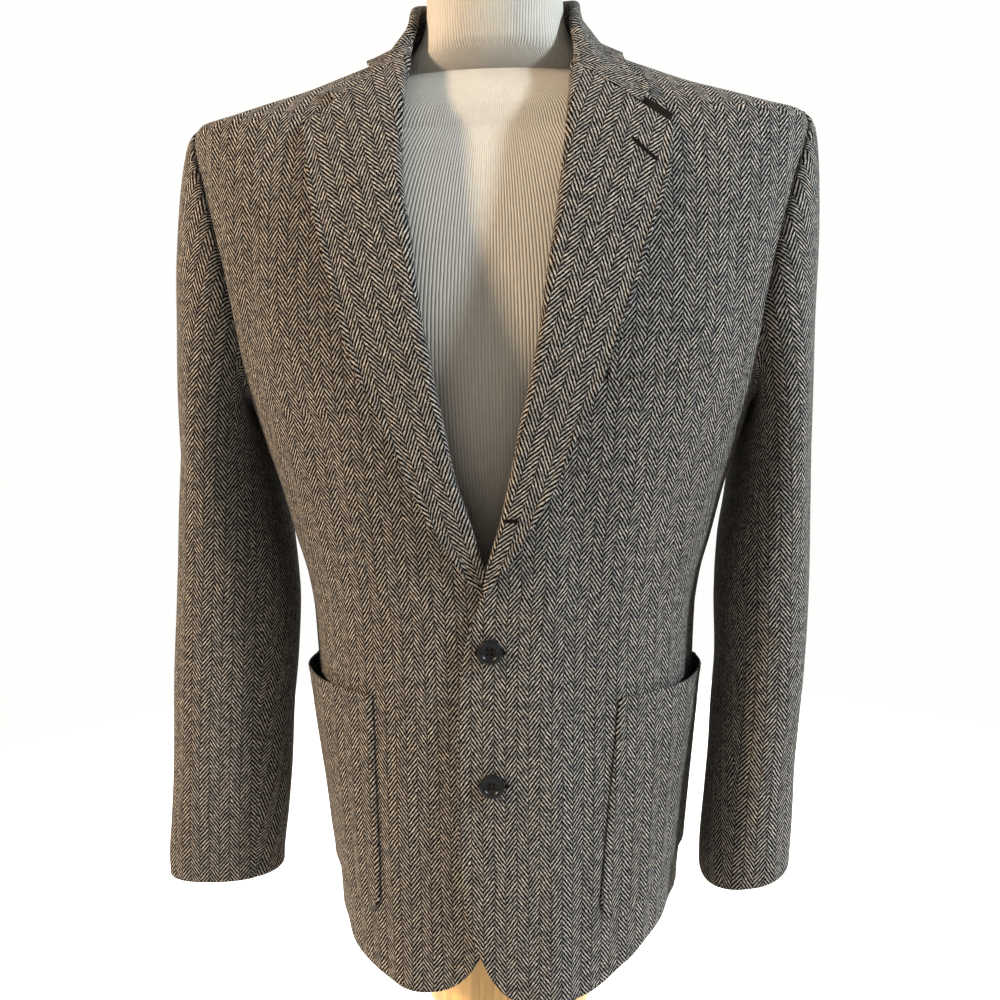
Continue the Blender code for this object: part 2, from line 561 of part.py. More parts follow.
def collar_front(side, share):
    """The collar's end: along the lapel's top as far as the notch, then out to the collar's tip."""
    gap = SEAM * 1.6
    turn_share = notch_share(side)
    knee = 0.80
    top = LAPEL_TOP[side]
    inner = lapel_row(side, top, np.minimum(share / knee, 1) * turn_share, gap)
    corner = lapel_row(side, top, np.array([turn_share]), gap)[0]
    tip_angle = angle_at(COLLAR_TIP[side][0], COLLAR_TIP[side][1])
    tip = cloth_point(side, tip_angle, COLLAR_TIP[side][1], LAPEL[side]("stand", top) + 0.0006)
    out = np.clip((share - knee) / (1 - knee), 0, 1)[:, None]
    return np.where(share[:, None] <= knee, inner, corner + (tip - corner) * out)


def collar_section(side, way, share):
    """The collar further round: up its stand, over the fold, and down its fall to the edge."""
    table, radius = COLLAR[side], COLLAR_FOLD
    seam_angle, seam_height = np.radians(table("seam_angle", way)), table("seam_height", way)
    seam = cloth_point(side, seam_angle, seam_height) + np.array([0, 0, 0.0019])
    edge = cloth_point(side, np.radians(table("edge_angle", way)), table("edge_height", way), COLLAR_LIFT)
    fold = np.array([side * table("fold_x", way), table("fold_y", way), table("fold_z", way)])
    out = edge - fold
    out[2] = 0
    out = out / np.linalg.norm(out)
    up = np.array([0, 0, 1.0])
    centre = fold - radius * up
    inner = centre - radius * out
    outer = centre + radius * out
    bow = outer + np.array([0, 0, -0.72]) * (outer[2] - edge[2]) + out * 0.06 * np.linalg.norm(edge - outer)
    s = share[:, None]
    stand = seam + (inner - seam) * (s / 0.30)
    turn = np.clip((s - 0.30) / 0.20, 0, 1) * np.pi
    roll = centre - radius * np.cos(turn) * out + radius * np.sin(turn) * up
    t = np.clip((s - 0.50) / 0.50, 0, 1)
    fall = (1 - t) ** 2 * outer + 2 * t * (1 - t) * bow + t * t * edge
    return np.where(s < 0.30, stand, np.where(s < 0.50, roll, fall))


def collar_half(side, share):
    """Rows of half the collar from its front end to the centre back.

    Its first row is the lapel's top; what that differs by from the plain section there fades out.
    """
    ways = np.array([0.0, 0.04, 0.09, 0.15, 0.22, 0.30, 0.37, 0.44, 0.50, 0.58, 0.66, 0.74, 0.82, 0.91, 1.0])
    fix = collar_front(side, share) - collar_section(side, 0.0, share)
    rows = np.stack([collar_section(side, way, share) + fix * (1 - smooth(np.array(way / COLLAR_JOIN)))
                     for way in ways])
    low = (share > 0.55) & (rows[..., 2] < COLLAR_REACH)
    low[0] = False
    rows[low] = ease_off(rows[low], COLLAR_LIFT)
    return rows


def collar():
    """The collar from notch to notch, stand and fall in one."""
    share = np.array([COLLAR_FIRST, 0.12, 0.22, 0.30, 0.35, 0.40, 0.45, 0.50, 0.60, 0.70, 0.80, 0.90, 1.0])
    left, right = collar_half(LEFT, share), collar_half(RIGHT, share)
    grid = np.concatenate([right, left[-2::-1]])
    cloth("collar", grid, COLLAR_WALL, flip=True)


# ---- sleeves ---------------------------------------------------------------------------
def armhole_loop(side, around, lift):
    """Points round the armhole's edge, moved out of the figure, and outward directions there.

    Zero is the shoulder end, and the angle runs down the front.
    """
    angle = np.radians(around)

    def loop(at):
        height = ARMPIT + (SHOULDER - ARMPIT) * (1 + np.cos(at)) / 2
        to_front, to_back = np.radians(ARMHOLE("to_front", height)), np.radians(ARMHOLE("to_back", height))
        turn = np.where(np.sin(at) >= 0, -to_front, to_back)
        return turn, height

    turn, height = loop(angle)
    normal = body_normal(turn, height)
    return (body_point(turn, height) + normal * lift) * [side, 1, 1], normal * [side, 1, 1]


def sleeve_section(side, around, height):
    """A level section of the lower sleeve: a rounded oval between its four sides."""
    angle = np.radians(around)
    table = SLEEVE[side]
    inner, outer = table("inner", height) + WALL / 2, table("outer", height) - WALL / 2
    front_y, back_y = table("front", height), table("back", height)
    power = 2 / SLEEVE_SQUARE
    cos = np.sign(np.cos(angle)) * np.abs(np.cos(angle)) ** power
    sin = np.sign(np.sin(angle)) * np.abs(np.sin(angle)) ** power
    x = (inner + outer) / 2 + (outer - inner) / 2 * cos
    y = (front_y + back_y) / 2 - (back_y - front_y) / 2 * sin
    return np.stack([x * side, y, height + 0 * x], axis=-1)


def sleeve_half(side, name):
    """One of a sleeve's two pieces: over the head on a curve for each column, then down to the cuff."""
    around = np.array(SLEEVE_COLUMNS[name], dtype=float)
    begin, normal = armhole_loop(side, around, SLEEVE_SEAT)
    finish = sleeve_section(side, around, BICEP + 0 * begin[:, 0])
    drop = np.linalg.norm(finish - begin, axis=-1, keepdims=True)
    swell = np.clip(0.07 * drop, 0.004, 0.010)
    first = begin + normal * swell * 1.25
    second = finish + np.array([0, 0, 1.0]) * drop * 0.42
    rows = []
    for t in (0.0, 0.05, 0.12, 0.22, 0.36, 0.52, 0.70, 0.86):
        rows.append((1 - t) ** 3 * begin + 3 * t * (1 - t) ** 2 * first
                    + 3 * t * t * (1 - t) * second + t ** 3 * finish)
    inner_cuff, outer_cuff = CUFF[side]
    cuff = inner_cuff + (outer_cuff - inner_cuff) * (1 + np.cos(np.radians(around))) / 2
    for share in np.linspace(0, 1, 13):
        rows.append(sleeve_section(side, around, BICEP + (cuff - BICEP) * share))
    rows[1:9] = ease_off(np.stack(rows[1:9]), SLEEVE_CLEAR)
    cloth(name + "_" + SIDE_NAME[side], np.stack(rows), WALL, flip=side == LEFT)


# ---- pockets and buttons ------------------------------------------------------------------
def pocket(side):
    """A patch pocket: the front's points moved out, more so at its mouth near the side."""
    columns, rows = 12, 11
    low, high = POCKET_INNER[side]
    share = np.linspace(0, 1, rows)[:, None]
    inner_x = low + (high - low) * share
    heights = POCKET_BOTTOM + (POCKET_TOP - POCKET_BOTTOM) * share
    start = angle_at(inner_x, heights)[:, 0]
    end = np.full(rows, np.radians(POCKET_OUTER))
    angles = even_angles(start, end, heights[:, 0], columns)
    across = np.linspace(0, 1, columns)[None, :]
    width = 0.165
    corner = np.maximum(POCKET_ROUND - np.minimum(across, 1 - across) * width, 0) / POCKET_ROUND
    rise = POCKET_ROUND * (1 - np.sqrt(np.maximum(1 - corner ** 2, 0)))
    heights = heights + rise * (1 - share) ** 3
    bulge = smooth((share - 0.35) / 0.65) * np.sin(np.pi * across ** 1.7) ** 1.5
    base = WALL / 2 + POCKET_SEAT + POCKET_WALL / 2
    grid = cloth_point(side, angles, heights + 0 * angles, base + POCKET_OPEN * bulge)
    cloth("pocket_" + SIDE_NAME[side], grid, POCKET_WALL, flip=side == RIGHT)


def band(name, corners, wall, columns, finish):
    """A four-cornered band that lies on the left front: the chest welt, and the felt in the notch."""
    low_in, low_out, high_in, high_out = (np.array(p) for p in corners)
    across = np.linspace(0, 1, columns)[None, :, None]
    up = np.linspace(0, 1, 3)[:, None, None]
    low = low_in + (low_out - low_in) * across
    high = high_in + (high_out - high_in) * across
    flat = low + (high - low) * up
    lift = WALL / 2 + LAYER + wall / 2
    grid = cloth_point(LEFT, angle_at(flat[..., 0], flat[..., 1]), flat[..., 1], lift)
    cloth(name, grid, wall, finish=finish)


def button(number, height):
    """A turned button with a raised rim and four holes, facing out of the left front."""
    radius = BUTTON_RADIUS
    profile = [(0.0, 0.0026), (0.0058, 0.0026), (0.0070, 0.0036), (0.0086, 0.0040),
               (radius, 0.0030), (radius, 0.0012), (0.0080, 0.0), (0.0, 0.0)]
    steps = 20
    points = [(r * math.cos(a), r * math.sin(a), z) for r, z in profile[1:-1]
              for a in (2 * math.pi * i / steps for i in range(steps))]
    faces = sheet_faces(len(profile) - 2, steps, True, wrap=True)
    faces.append(tuple(range(steps)))
    faces.append(tuple(range(len(points) - 1, len(points) - 1 - steps, -1)))
    made = new_object("button_%d" % number, points, faces, "button")
    cutters = bpy.data.collections["cutters"]
    for index in range(4):
        turn = math.radians(45 + 90 * index)
        place = (0.0025 * math.cos(turn), 0.0025 * math.sin(turn), 0.002)
        bpy.ops.mesh.primitive_cylinder_add(vertices=8, radius=0.0010, depth=0.012, location=place)
        hole = bpy.context.object
        hole.name = "cutter_%d_%d" % (number, index)
        hole.display_type = "WIRE"
        hole.hide_render = True
        for collection in hole.users_collection:
            collection.objects.unlink(hole)
        cutters.objects.link(hole)
        hole.parent = made
        cut = made.modifiers.new("hole", "BOOLEAN")
        cut.operation = "DIFFERENCE"
        cut.object = hole
    angle = angle_at(np.array(BUTTON_ACROSS), np.array(height))
    seat = WALL / 2 + 0.0009
    point = cloth_point(LEFT, angle, np.array(height), seat)
    normal = body_normal(angle, np.array(height))
    made.location = tuple(point)
    made.rotation_euler = (math.acos(normal[2]), 0, math.atan2(normal[1], normal[0]) + math.pi / 2)


# ---- the dress form ------------------------------------------------------------------------
def form_torso():
    """The limbless torso and neck: the figure's rings drawn in, closed at the neck and below."""
    angles = np.linspace(0, 2 * np.pi, TORSO_SIDES, endpoint=False) - np.pi / 2
    rings = []
    for height in (0.735, 0.745, 0.765, 0.80, 0.86, 0.93, 1.00, 1.06, 1.12, 1.18, 1.24, 1.30, 1.345, 1.380,
                   1.398, 1.406, 1.413, 1.422, 1.432, 1.442, 1.452):
        level = np.full(TORSO_SIDES, height)
        inset = FORM_INSET("inset", height) + FORM_AWAY * smooth(np.abs(np.sin(angles)) / 0.35)
        inset = inset + FORM_FRONT * smooth((-np.sin(angles) - 0.30) / 0.5)
        ring = body_point(angles, level) - body_normal(angles, level) * inset[:, None]
        ring[:, 2] = np.where(height < 1.05, height, ring[:, 2])
        rings.append(ring)
    for height in (1.462, 1.472, 1.485, 1.52, 1.552, 1.560):
        rings.append(np.stack([NECK("radius_x", height) * np.cos(angles),
                               NECK("centre_y", height) + NECK("radius_y", height) * np.sin(angles),
                               height + 0 * angles], axis=-1))
    faces = sheet_faces(len(rings), TORSO_SIDES, False, wrap=True)
    count = len(rings) * TORSO_SIDES
    faces.append(tuple(range(TORSO_SIDES - 1, -1, -1)))
    faces.append(tuple(range(count - TORSO_SIDES, count)))
    new_object("form_torso", np.concatenate(rings), faces, "linen")


def turned(name, profile, finish):
    """A solid turned from its profile, closed on the axis at both ends."""
    points = [(0, 0, profile[0][1])] + [(r, 0, z) for r, z in profile] + [(0, 0, profile[-1][1])]
    mesh = bpy.data.meshes.new(name)
    mesh.from_pydata(points, [(i, i + 1) for i in range(len(points) - 1)], [])
    mesh.materials.append(material(finish))
    made = bpy.data.objects.new(name, mesh)
    bpy.data.collections["tweed_jacket"].objects.link(made)
    screw = made.modifiers.new("turn", "SCREW")
    screw.steps = TURN_STEPS
    screw.render_steps = TURN_STEPS
    screw.use_merge_vertices = True
    screw.merge_threshold = 0.0001
    return made


def main():
    """Clear the scene and build the jacket, then the form it stands on."""
    for old in list(bpy.data.objects):
        bpy.data.objects.remove(old, do_unlink=True)
    for name in ("tweed_jacket", "cutters"):
        bpy.context.scene.collection.children.link(bpy.data.collections.new(name))
    for side in (LEFT, RIGHT):
        front(side)
        side_panel(side)
        back(side)
        lapel(side)
        sleeve_half(side, "topsleeve")
        sleeve_half(side, "undersleeve")
        pocket(side)
    collar()
    band("chest_welt", WELT, WELT_WALL, 8, "tweed")
    band("throat_tab", THROAT_TAB, FELT_WALL, 5, "felt")
    for number, height in enumerate(BUTTON_HEIGHTS, start=1):
        button(number, height)
    form_torso()
    turned("form_post", POST_PROFILE, "wood")
    turned("form_base", BASE_PROFILE, "wood")


main()
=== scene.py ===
"""The looks of a buttoned tweed jacket on its dress form.

Metres, +Z up, in the packed model's own frame: the origin is the middle of the stand's
underside, the front faces -Y and +X is the wearer's left.  Every cloth piece is a surface of
two parameters on one smooth figure, worked out as whole arrays, with a wall from Solidify.
Its UV map is its flat pattern in metres, and the herringbone is drawn in that map, so the
weave runs with the grain.  Most patterns are relaxed from the shape, the backs hang plumb
below the shoulder blades, and pockets and bands share the map of the front they lie on.
"""

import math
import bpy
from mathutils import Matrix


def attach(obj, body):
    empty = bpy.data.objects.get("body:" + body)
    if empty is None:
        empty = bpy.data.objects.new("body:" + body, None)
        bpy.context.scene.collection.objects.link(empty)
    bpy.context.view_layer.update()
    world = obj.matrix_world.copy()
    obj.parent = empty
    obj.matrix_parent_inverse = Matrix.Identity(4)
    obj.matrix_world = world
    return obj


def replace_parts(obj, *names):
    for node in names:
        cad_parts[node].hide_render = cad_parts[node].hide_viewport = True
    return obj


bl_info = {
    "name": "Tweed jacket on a dress form",
    "version": (1, 0, 0),
    "blender": (4, 5, 0),
    "location": "View3D > Sidebar > Jacket",
    "description": "Dresses the packed jacket model with cloth, trim, form and stage",
    "category": "Object",
}

from functools import cache

import bpy
import numpy as np
from mathutils import Matrix, Vector

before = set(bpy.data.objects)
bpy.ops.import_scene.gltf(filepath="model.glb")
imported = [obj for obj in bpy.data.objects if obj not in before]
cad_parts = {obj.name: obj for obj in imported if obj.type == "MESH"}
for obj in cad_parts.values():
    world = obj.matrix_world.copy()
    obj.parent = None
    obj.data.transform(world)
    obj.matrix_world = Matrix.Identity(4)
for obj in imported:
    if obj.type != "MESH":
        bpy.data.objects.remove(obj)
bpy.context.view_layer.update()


# ---- driving sizes ----
WALL = 0.0020            # tweed with its canvas, as one wall
SEAM = 0.0006            # parting of neighbouring pieces at mid wall, a little less at their rims
LAYER = 0.0005           # parting between a panel and what lies on it
HEM = 0.7050             # height of the jacket's hem above the floor
ARMPIT = 1.1780          # lowest point of the armhole
CHEST = 1.2700           # above this only the armhole bounds a panel's side
SHOULDER = 1.4060        # outer end of the shoulder seam
NECK_POINT = 1.4560      # inner end of the shoulder seam
NECK_BACK = 1.4760       # centre back of the neck seam
SHOULDER_ROWS = (1.3800, 1.3930, 1.4000, SHOULDER, 1.4150)    # extra rows where the armhole closes
BUTTON_HEIGHTS = (0.9980, 0.8885)
BUTTON_ACROSS = -0.0035  # the buttons' middles, on the left front's own side
VENT_TOP = 0.9300        # the centre back seam is open below this
VENT_LAP = 0.0350

LEFT, RIGHT = 1, -1
SIDE_NAME = {LEFT: "left", RIGHT: "right"}


def curved(t, step, low, high, low_slope, high_slope):
    """A cubic from low to high: t runs 0 to 1 over a distance of step, with a slope at each end."""
    return ((1 + 2 * t) * (1 - t) ** 2 * low + t * (1 - t) ** 2 * step * low_slope
            + t * t * (3 - 2 * t) * high + t * t * (t - 1) * step * high_slope)


class Table:
    """Rows of sizes under named columns, read between the rows on a curve without overshoot."""

    def __init__(self, columns, rows):
        self.columns = columns.split()
        self.rows = np.array(rows, dtype=float)

    def __call__(self, column, at):
        knots = self.rows[:, 0]
        values = self.rows[:, self.columns.index(column)]
        step = np.diff(knots)
        slope = np.diff(values) / step
        tangent = np.empty_like(values)
        tangent[0], tangent[-1] = slope[0], slope[-1]
        product = slope[:-1] * slope[1:]
        total = np.where(product > 0, slope[:-1] + slope[1:], 1.0)
        tangent[1:-1] = np.where(product > 0, 2.0 * product / total, 0.0)
        at = np.clip(np.asarray(at, dtype=float), knots[0], knots[-1])
        row = np.clip(np.searchsorted(knots, at) - 1, 0, len(knots) - 2)
        return curved((at - knots[row]) / step[row], step[row], values[row], values[row + 1],
                      tangent[row], tangent[row + 1])


# The figure that the cloth hangs on: half width, reach to the front and to the back, and how
# square the oval is (2 is an ellipse).
BODY = Table("height half_width front back square", (
    (0.660, 0.1540, 0.1440, 0.1540, 2.15),
    (0.705, 0.1560, 0.1430, 0.1520, 2.15),
    (0.750, 0.1575, 0.1415, 0.1480, 2.15),
    (0.800, 0.1620, 0.1395, 0.1430, 2.15),
    (0.870, 0.1660, 0.1360, 0.1350, 2.20),
    (0.950, 0.1670, 0.1320, 0.1230, 2.25),
    (1.000, 0.1680, 0.1305, 0.1140, 2.30),
    (1.030, 0.1715, 0.1305, 0.1100, 2.30),
    (1.070, 0.1810, 0.1310, 0.1080, 2.35),
    (1.110, 0.1900, 0.1325, 0.1100, 2.40),
    (1.150, 0.2020, 0.1340, 0.1150, 2.40),
    (1.200, 0.2160, 0.1340, 0.1220, 2.45),
    (1.250, 0.2280, 0.1300, 0.1290, 2.50),
    (1.300, 0.2380, 0.1200, 0.1310, 2.50),
    (1.350, 0.2465, 0.1050, 0.1260, 2.45),
    (1.385, 0.2500, 0.0905, 0.1160, 2.40),
    (1.398, 0.2500, 0.0835, 0.1110, 2.40),
    (1.406, 0.2460, 0.0790, 0.1080, 2.35),
    (1.412, 0.2260, 0.0750, 0.1055, 2.30),
    (1.420, 0.1985, 0.0690, 0.1020, 2.25),
    (1.430, 0.1620, 0.0610, 0.0970, 2.20),
    (1.441, 0.1310, 0.0510, 0.0910, 2.15),
    (1.450, 0.1070, 0.0420, 0.0860, 2.10),
    (1.456, 0.0920, 0.0370, 0.0820, 2.10),
    (1.466, 0.0740, 0.0310, 0.0750, 2.10),
    (1.478, 0.0640, 0.0270, 0.0670, 2.10),
))

# The armhole on the figure, as angles to the front and to the back of the side, in degrees.
ARMHOLE = Table("height to_front to_back", (
    (1.1780, 0.0, 0.0), (1.1830, 9.0, 10.0), (1.1900, 14.0, 16.0), (1.2100, 21.0, 24.0), (1.2350, 25.0, 28.5),
    (1.2620, 26.5, 31.0), (1.2870, 26.5, 31.5), (1.3110, 25.5, 30.5), (1.3290, 24.0, 29.0),
    (1.3510, 21.5, 26.0), (1.3670, 18.5, 22.0), (1.3860, 12.5, 15.0), (1.3990, 5.5, 6.5),
    (1.4060, 0.0, 0.0),
))
FRONT_SEAM = 10.0        # degrees in front of the side where the side panel ends
BACK_SEAM = 28.0         # degrees behind it

# The edge of each front on its own side, up to where the lapel begins to roll.
EDGE = {
    LEFT: Table("height across", (
        (0.7050, 0.0500), (0.7062, 0.0330), (0.7100, 0.0170), (0.7160, 0.0060), (0.7270, -0.0040),
        (0.7470, -0.0145), (0.7700, -0.0220), (0.8000, -0.0280), (0.8500, -0.0310), (0.9180, -0.0305),
        (0.9530, -0.0285), (0.9900, -0.0245), (1.0220, -0.0165), (1.0460, -0.0065))),
    RIGHT: Table("height across", (
        (0.7050, 0.0640), (0.7062, 0.0540), (0.7120, 0.0400), (0.7220, 0.0280), (0.7420, 0.0150),
        (0.7750, 0.0020), (0.8200, -0.0100), (0.8700, -0.0170), (0.9200, -0.0200), (0.9900, -0.0200),
        (1.0250, -0.0140), (1.0480, -0.0004))),
}
NECK_SEAM = Table("height angle", ((1.4560, 0.0), (1.4620, 16.0), (1.4700, 42.0), (1.4760, 90.0)))

# How far the hem hangs below (-) or above (+) HEM, by the angle round the figure.
HEM_DIP = {
    LEFT: Table("angle dip", (
        (-110, -0.012), (-80, -0.009), (-65, -0.007), (-50, 0.008), (-38, 0.022), (-15, 0.032), (10, 0.028),
        (50, 0.012), (90, 0.005))),
    RIGHT: Table("angle dip", (
        (-110, 0.001), (-75, -0.006), (-62, -0.008), (-40, -0.001), (0, 0.012), (45, 0.008), (90, 0.005))),
}
HEM_FADE = 0.17          # the dip has died out this far above the hem

# The largest folds: soft ridges (+) and troughs (-) that run up the cloth.
FOLD_COLUMNS = "angle width low high height".split()
FOLDS = {
    LEFT: (
        (-74.0, 5.0, 0.66, 0.99, 0.0022),
        (-55.0, 6.0, 0.68, 0.93, -0.0022),
        (-20.0, 8.0, 0.66, 1.16, -0.0030),
        (40.0, 9.0, 0.66, 1.05, -0.0050),
        (62.0, 8.0, 0.66, 1.10, 0.0045)),
    RIGHT: (
        (-76.0, 6.0, 0.66, 0.98, -0.0025),
        (-62.0, 5.0, 0.66, 0.95, 0.0025),
        (-22.0, 8.0, 0.66, 1.15, -0.0030),
        (38.0, 8.0, 0.66, 1.08, -0.0045),
        (60.0, 9.0, 0.66, 1.02, 0.0050)),
}

# The left front stands clear of what it laps over: the right front, then the right lapel's end.
LAP = Table("height lift", (
    (0.70, 0.0040), (0.99, 0.0042), (1.03, 0.0052), (1.05, 0.0058), (1.075, 0.0058), (1.11, 0.0024),
    (1.15, 0.0)))
LAP_FULL, LAP_END = 0.034, 0.070      # across, on its own side

# Each lapel by the height of its roll line: how far across that line is, the lapel's outer
# edge, the radius it rolls on and how high its edge stands.
LAPEL = {
    LEFT: Table("height across edge_z edge_x radius stand", (
        (1.046, -0.0065, 1.0470, -0.0036, 0.0013, 0.0026),
        (1.071, 0.0006, 1.0690, 0.0135, 0.0022, 0.0054),
        (1.097, 0.0095, 1.0950, 0.0285, 0.0032, 0.0078),
        (1.139, 0.0200, 1.1360, 0.0513, 0.0041, 0.0092),
        (1.175, 0.0275, 1.1780, 0.0683, 0.0045, 0.0090),
        (1.209, 0.0355, 1.2110, 0.0835, 0.0046, 0.0082),
        (1.239, 0.0415, 1.2420, 0.0945, 0.0046, 0.0074),
        (1.279, 0.0470, 1.2790, 0.1080, 0.0045, 0.0066),
        (1.317, 0.0530, 1.3130, 0.1182, 0.0043, 0.0058),
        (1.373, 0.0600, 1.3550, 0.1318, 0.0040, 0.0046),
        (1.431, 0.0640, 1.3865, 0.1345, 0.0038, 0.0040))),
    RIGHT: Table("height across edge_z edge_x radius stand", (
        (1.048, -0.0004, 1.0465, 0.0130, 0.0012, 0.0024),
        (1.060, 0.0065, 1.0590, 0.0240, 0.0018, 0.0038),
        (1.076, 0.0132, 1.0750, 0.0325, 0.0025, 0.0054),
        (1.097, 0.0200, 1.0960, 0.0450, 0.0032, 0.0072),
        (1.136, 0.0325, 1.1330, 0.0628, 0.0041, 0.0086),
        (1.176, 0.0400, 1.1790, 0.0810, 0.0045, 0.0084),
        (1.215, 0.0470, 1.2210, 0.1010, 0.0046, 0.0078),
        (1.260, 0.0555, 1.2620, 0.1120, 0.0045, 0.0070),
        (1.304, 0.0610, 1.2990, 0.1225, 0.0043, 0.0060),
        (1.350, 0.0675, 1.3380, 0.1325, 0.0040, 0.0048),
        (1.390, 0.0690, 1.3650, 0.1375, 0.0038, 0.0037),
        (1.443, 0.0670, 1.3940, 0.1415, 0.0038, 0.0040))),
}
LAPEL_TOP = {LEFT: 1.4310, RIGHT: 1.4430}
LAPEL_START = {LEFT: 1.0460, RIGHT: 1.0480}
ROLL_PARTING = 0.0007    # between a front's edge and the start of the lapel's roll
# Where the gorge seam ends at the notch, and the tip of the collar there (across, height).
NOTCH = {LEFT: (0.1111, 1.4010), RIGHT: (0.1138, 1.4060)}
COLLAR_TIP = {LEFT: (0.1185, 1.4103), RIGHT: (0.1250, 1.4188)}
ROLL_SHARE = 0.30        # share of a lapel's columns spent on its roll

# The collar's way round the neck: its seam and its outer edge on the figure, its fold in space.
COLLAR_COLUMNS = "way seam_angle seam_height edge_angle edge_height fold_x fold_y fold_z"
COLLAR_BACK = (
    (0.30, -24.0, 1.4570, -30.0, 1.4470, 0.0640, -0.0180, 1.4840),
    (0.50, 0.0, 1.4570, 0.0, 1.4550, 0.0650, 0.0060, 1.4990),
    (0.72, 42.0, 1.4710, 45.0, 1.4550, 0.0540, 0.0460, 1.5110),
    (1.00, 90.0, 1.4770, 90.0, 1.4520, 0.0000, 0.0660, 1.5160))
COLLAR = {
    LEFT: Table(COLLAR_COLUMNS, (
        (0.00, -68.5, 1.4310, -63.5, 1.4103, 0.0620, -0.0610, 1.4420),
        (0.15, -44.0, 1.4540, -48.5, 1.4350, 0.0630, -0.0390, 1.4640)) + COLLAR_BACK),
    RIGHT: Table(COLLAR_COLUMNS, (
        (0.00, -61.0, 1.4430, -56.2, 1.4188, 0.0640, -0.0560, 1.4500),
        (0.15, -42.0, 1.4562, -49.0, 1.4385, 0.0635, -0.0360, 1.4660)) + COLLAR_BACK),
}
COLLAR_FOLD = 0.0030     # radius of the collar's fold
COLLAR_JOIN = 0.30       # along its way, where the collar has left the shape of the lapel's top
COLLAR_WALL = 0.0020
COLLAR_LIFT = 0.0042     # how far the fall's edge stands off the panels
COLLAR_FIRST = 0.012     # share of the collar's width left open at its neck seam
COLLAR_REACH = 1.4750    # below this height the fall may lie on the panels

# The sleeves' lower parts: inner and outer side, front and back of each section.
BICEP = 1.1400
CUFF = {LEFT: (0.7550, 0.7740), RIGHT: (0.7540, 0.7460)}      # heights of its inner and outer side
SLEEVE = {
    LEFT: Table("height inner outer front back", (
        (0.745, 0.1765, 0.2510, -0.080, 0.011),
        (0.765, 0.1765, 0.2530, -0.079, 0.015),
        (0.820, 0.1810, 0.2555, -0.079, 0.029),
        (0.860, 0.1845, 0.2562, -0.078, 0.037),
        (0.900, 0.1865, 0.2586, -0.078, 0.045),
        (0.950, 0.1900, 0.2618, -0.077, 0.055),
        (1.000, 0.1890, 0.2630, -0.076, 0.064),
        (1.050, 0.1915, 0.2625, -0.076, 0.072),
        (1.090, 0.1980, 0.2615, -0.076, 0.079),
        (1.140, 0.2040, 0.2605, -0.075, 0.084))),
    RIGHT: Table("height inner outer front back", (
        (0.740, 0.2090, 0.3150, -0.062, -0.008),
        (0.760, 0.2083, 0.3148, -0.064, -0.003),
        (0.800, 0.2033, 0.3105, -0.066, 0.006),
        (0.850, 0.1980, 0.3050, -0.068, 0.015),
        (0.900, 0.1950, 0.3015, -0.069, 0.025),
        (0.950, 0.1898, 0.2983, -0.070, 0.035),
        (1.000, 0.1870, 0.2938, -0.071, 0.045),
        (1.050, 0.1910, 0.2884, -0.072, 0.056),
        (1.090, 0.1980, 0.2838, -0.073, 0.068),
        (1.140, 0.2050, 0.2775, -0.074, 0.080))),
}
SLEEVE_SQUARE = 2.3
SLEEVE_SEAT = WALL / 2 + 0.0014       # the sleeve's seam stands on the panels round the armhole
SLEEVE_CLEAR = WALL + 0.0007

# The patch pockets on the figure: top and bottom, inner edge across, outer edge as an angle.
POCKET_TOP, POCKET_BOTTOM = 0.9520, 0.7560
POCKET_INNER = {LEFT: (0.0800, 0.0965), RIGHT: (0.0990, 0.1010)}      # at the bottom and the top
POCKET_OUTER = -2.0
POCKET_ROUND = 0.028
POCKET_WALL = 0.0016
POCKET_SEAT = 0.0009
POCKET_OPEN = 0.0075     # how far the mouth stands open near the side

# A flat band on the left front by its four corners: low inner, low outer, high inner, high outer.
THROAT_TAB = ((0.1040, 1.3985), (0.1305, 1.3835), (0.1120, 1.4095), (0.1355, 1.3945))
WELT = ((0.0850, 1.2040), (0.1630, 1.2120), (0.0890, 1.2325), (0.1700, 1.2395))
WELT_WALL = 0.0014
FELT_WALL = 0.0010

# The dress form inside: how far it keeps below the cloth, and its neck.
FORM_INSET = Table("height inset", (
    (0.735, 0.050), (0.760, 0.036), (0.820, 0.032), (0.950, 0.034), (1.050, 0.026), (1.150, 0.016),
    (1.250, 0.011), (1.330, 0.008), (1.380, 0.0082), (1.404, 0.0082), (1.413, 0.0056), (1.423, 0.0024),
    (1.434, 0.0015), (1.452, 0.0015)))
FORM_FRONT = 0.0070      # and this much more on its chest, where a shirt would be
FORM_AWAY = 0.0050       # and this much more away from the ridge of the shoulders
NECK = Table("height radius_x radius_y centre_y", (
    (1.462, 0.0690, 0.0560, 0.012), (1.472, 0.0610, 0.0530, 0.007), (1.485, 0.0560, 0.0520, 0.004),
    (1.520, 0.0545, 0.0525, 0.001), (1.552, 0.0550, 0.0540, 0.000), (1.560, 0.0525, 0.0515, 0.000)))

# Radius and height down the turned post, from the torso's underside to the base.
POST_PROFILE = (
    (0.0600, 0.7347), (0.0700, 0.7280), (0.0800, 0.7120), (0.0850, 0.6900), (0.0862, 0.6550),
    (0.0840, 0.6200), (0.0700, 0.5950), (0.0420, 0.5820), (0.0270, 0.5600), (0.0235, 0.4000),
    (0.0250, 0.1200), (0.0330, 0.0600), (0.0480, 0.0400), (0.0500, 0.0283))
BASE_PROFILE = ((0.1900, 0.0280), (0.1970, 0.0255), (0.2000, 0.0200), (0.2000, 0.0020), (0.1985, 0.0))
# What is turned: the piece, the node it stands for and its profile.
TURNED = (("turned_post", "form_post", POST_PROFILE), ("round_base", "form_base", BASE_PROFILE))


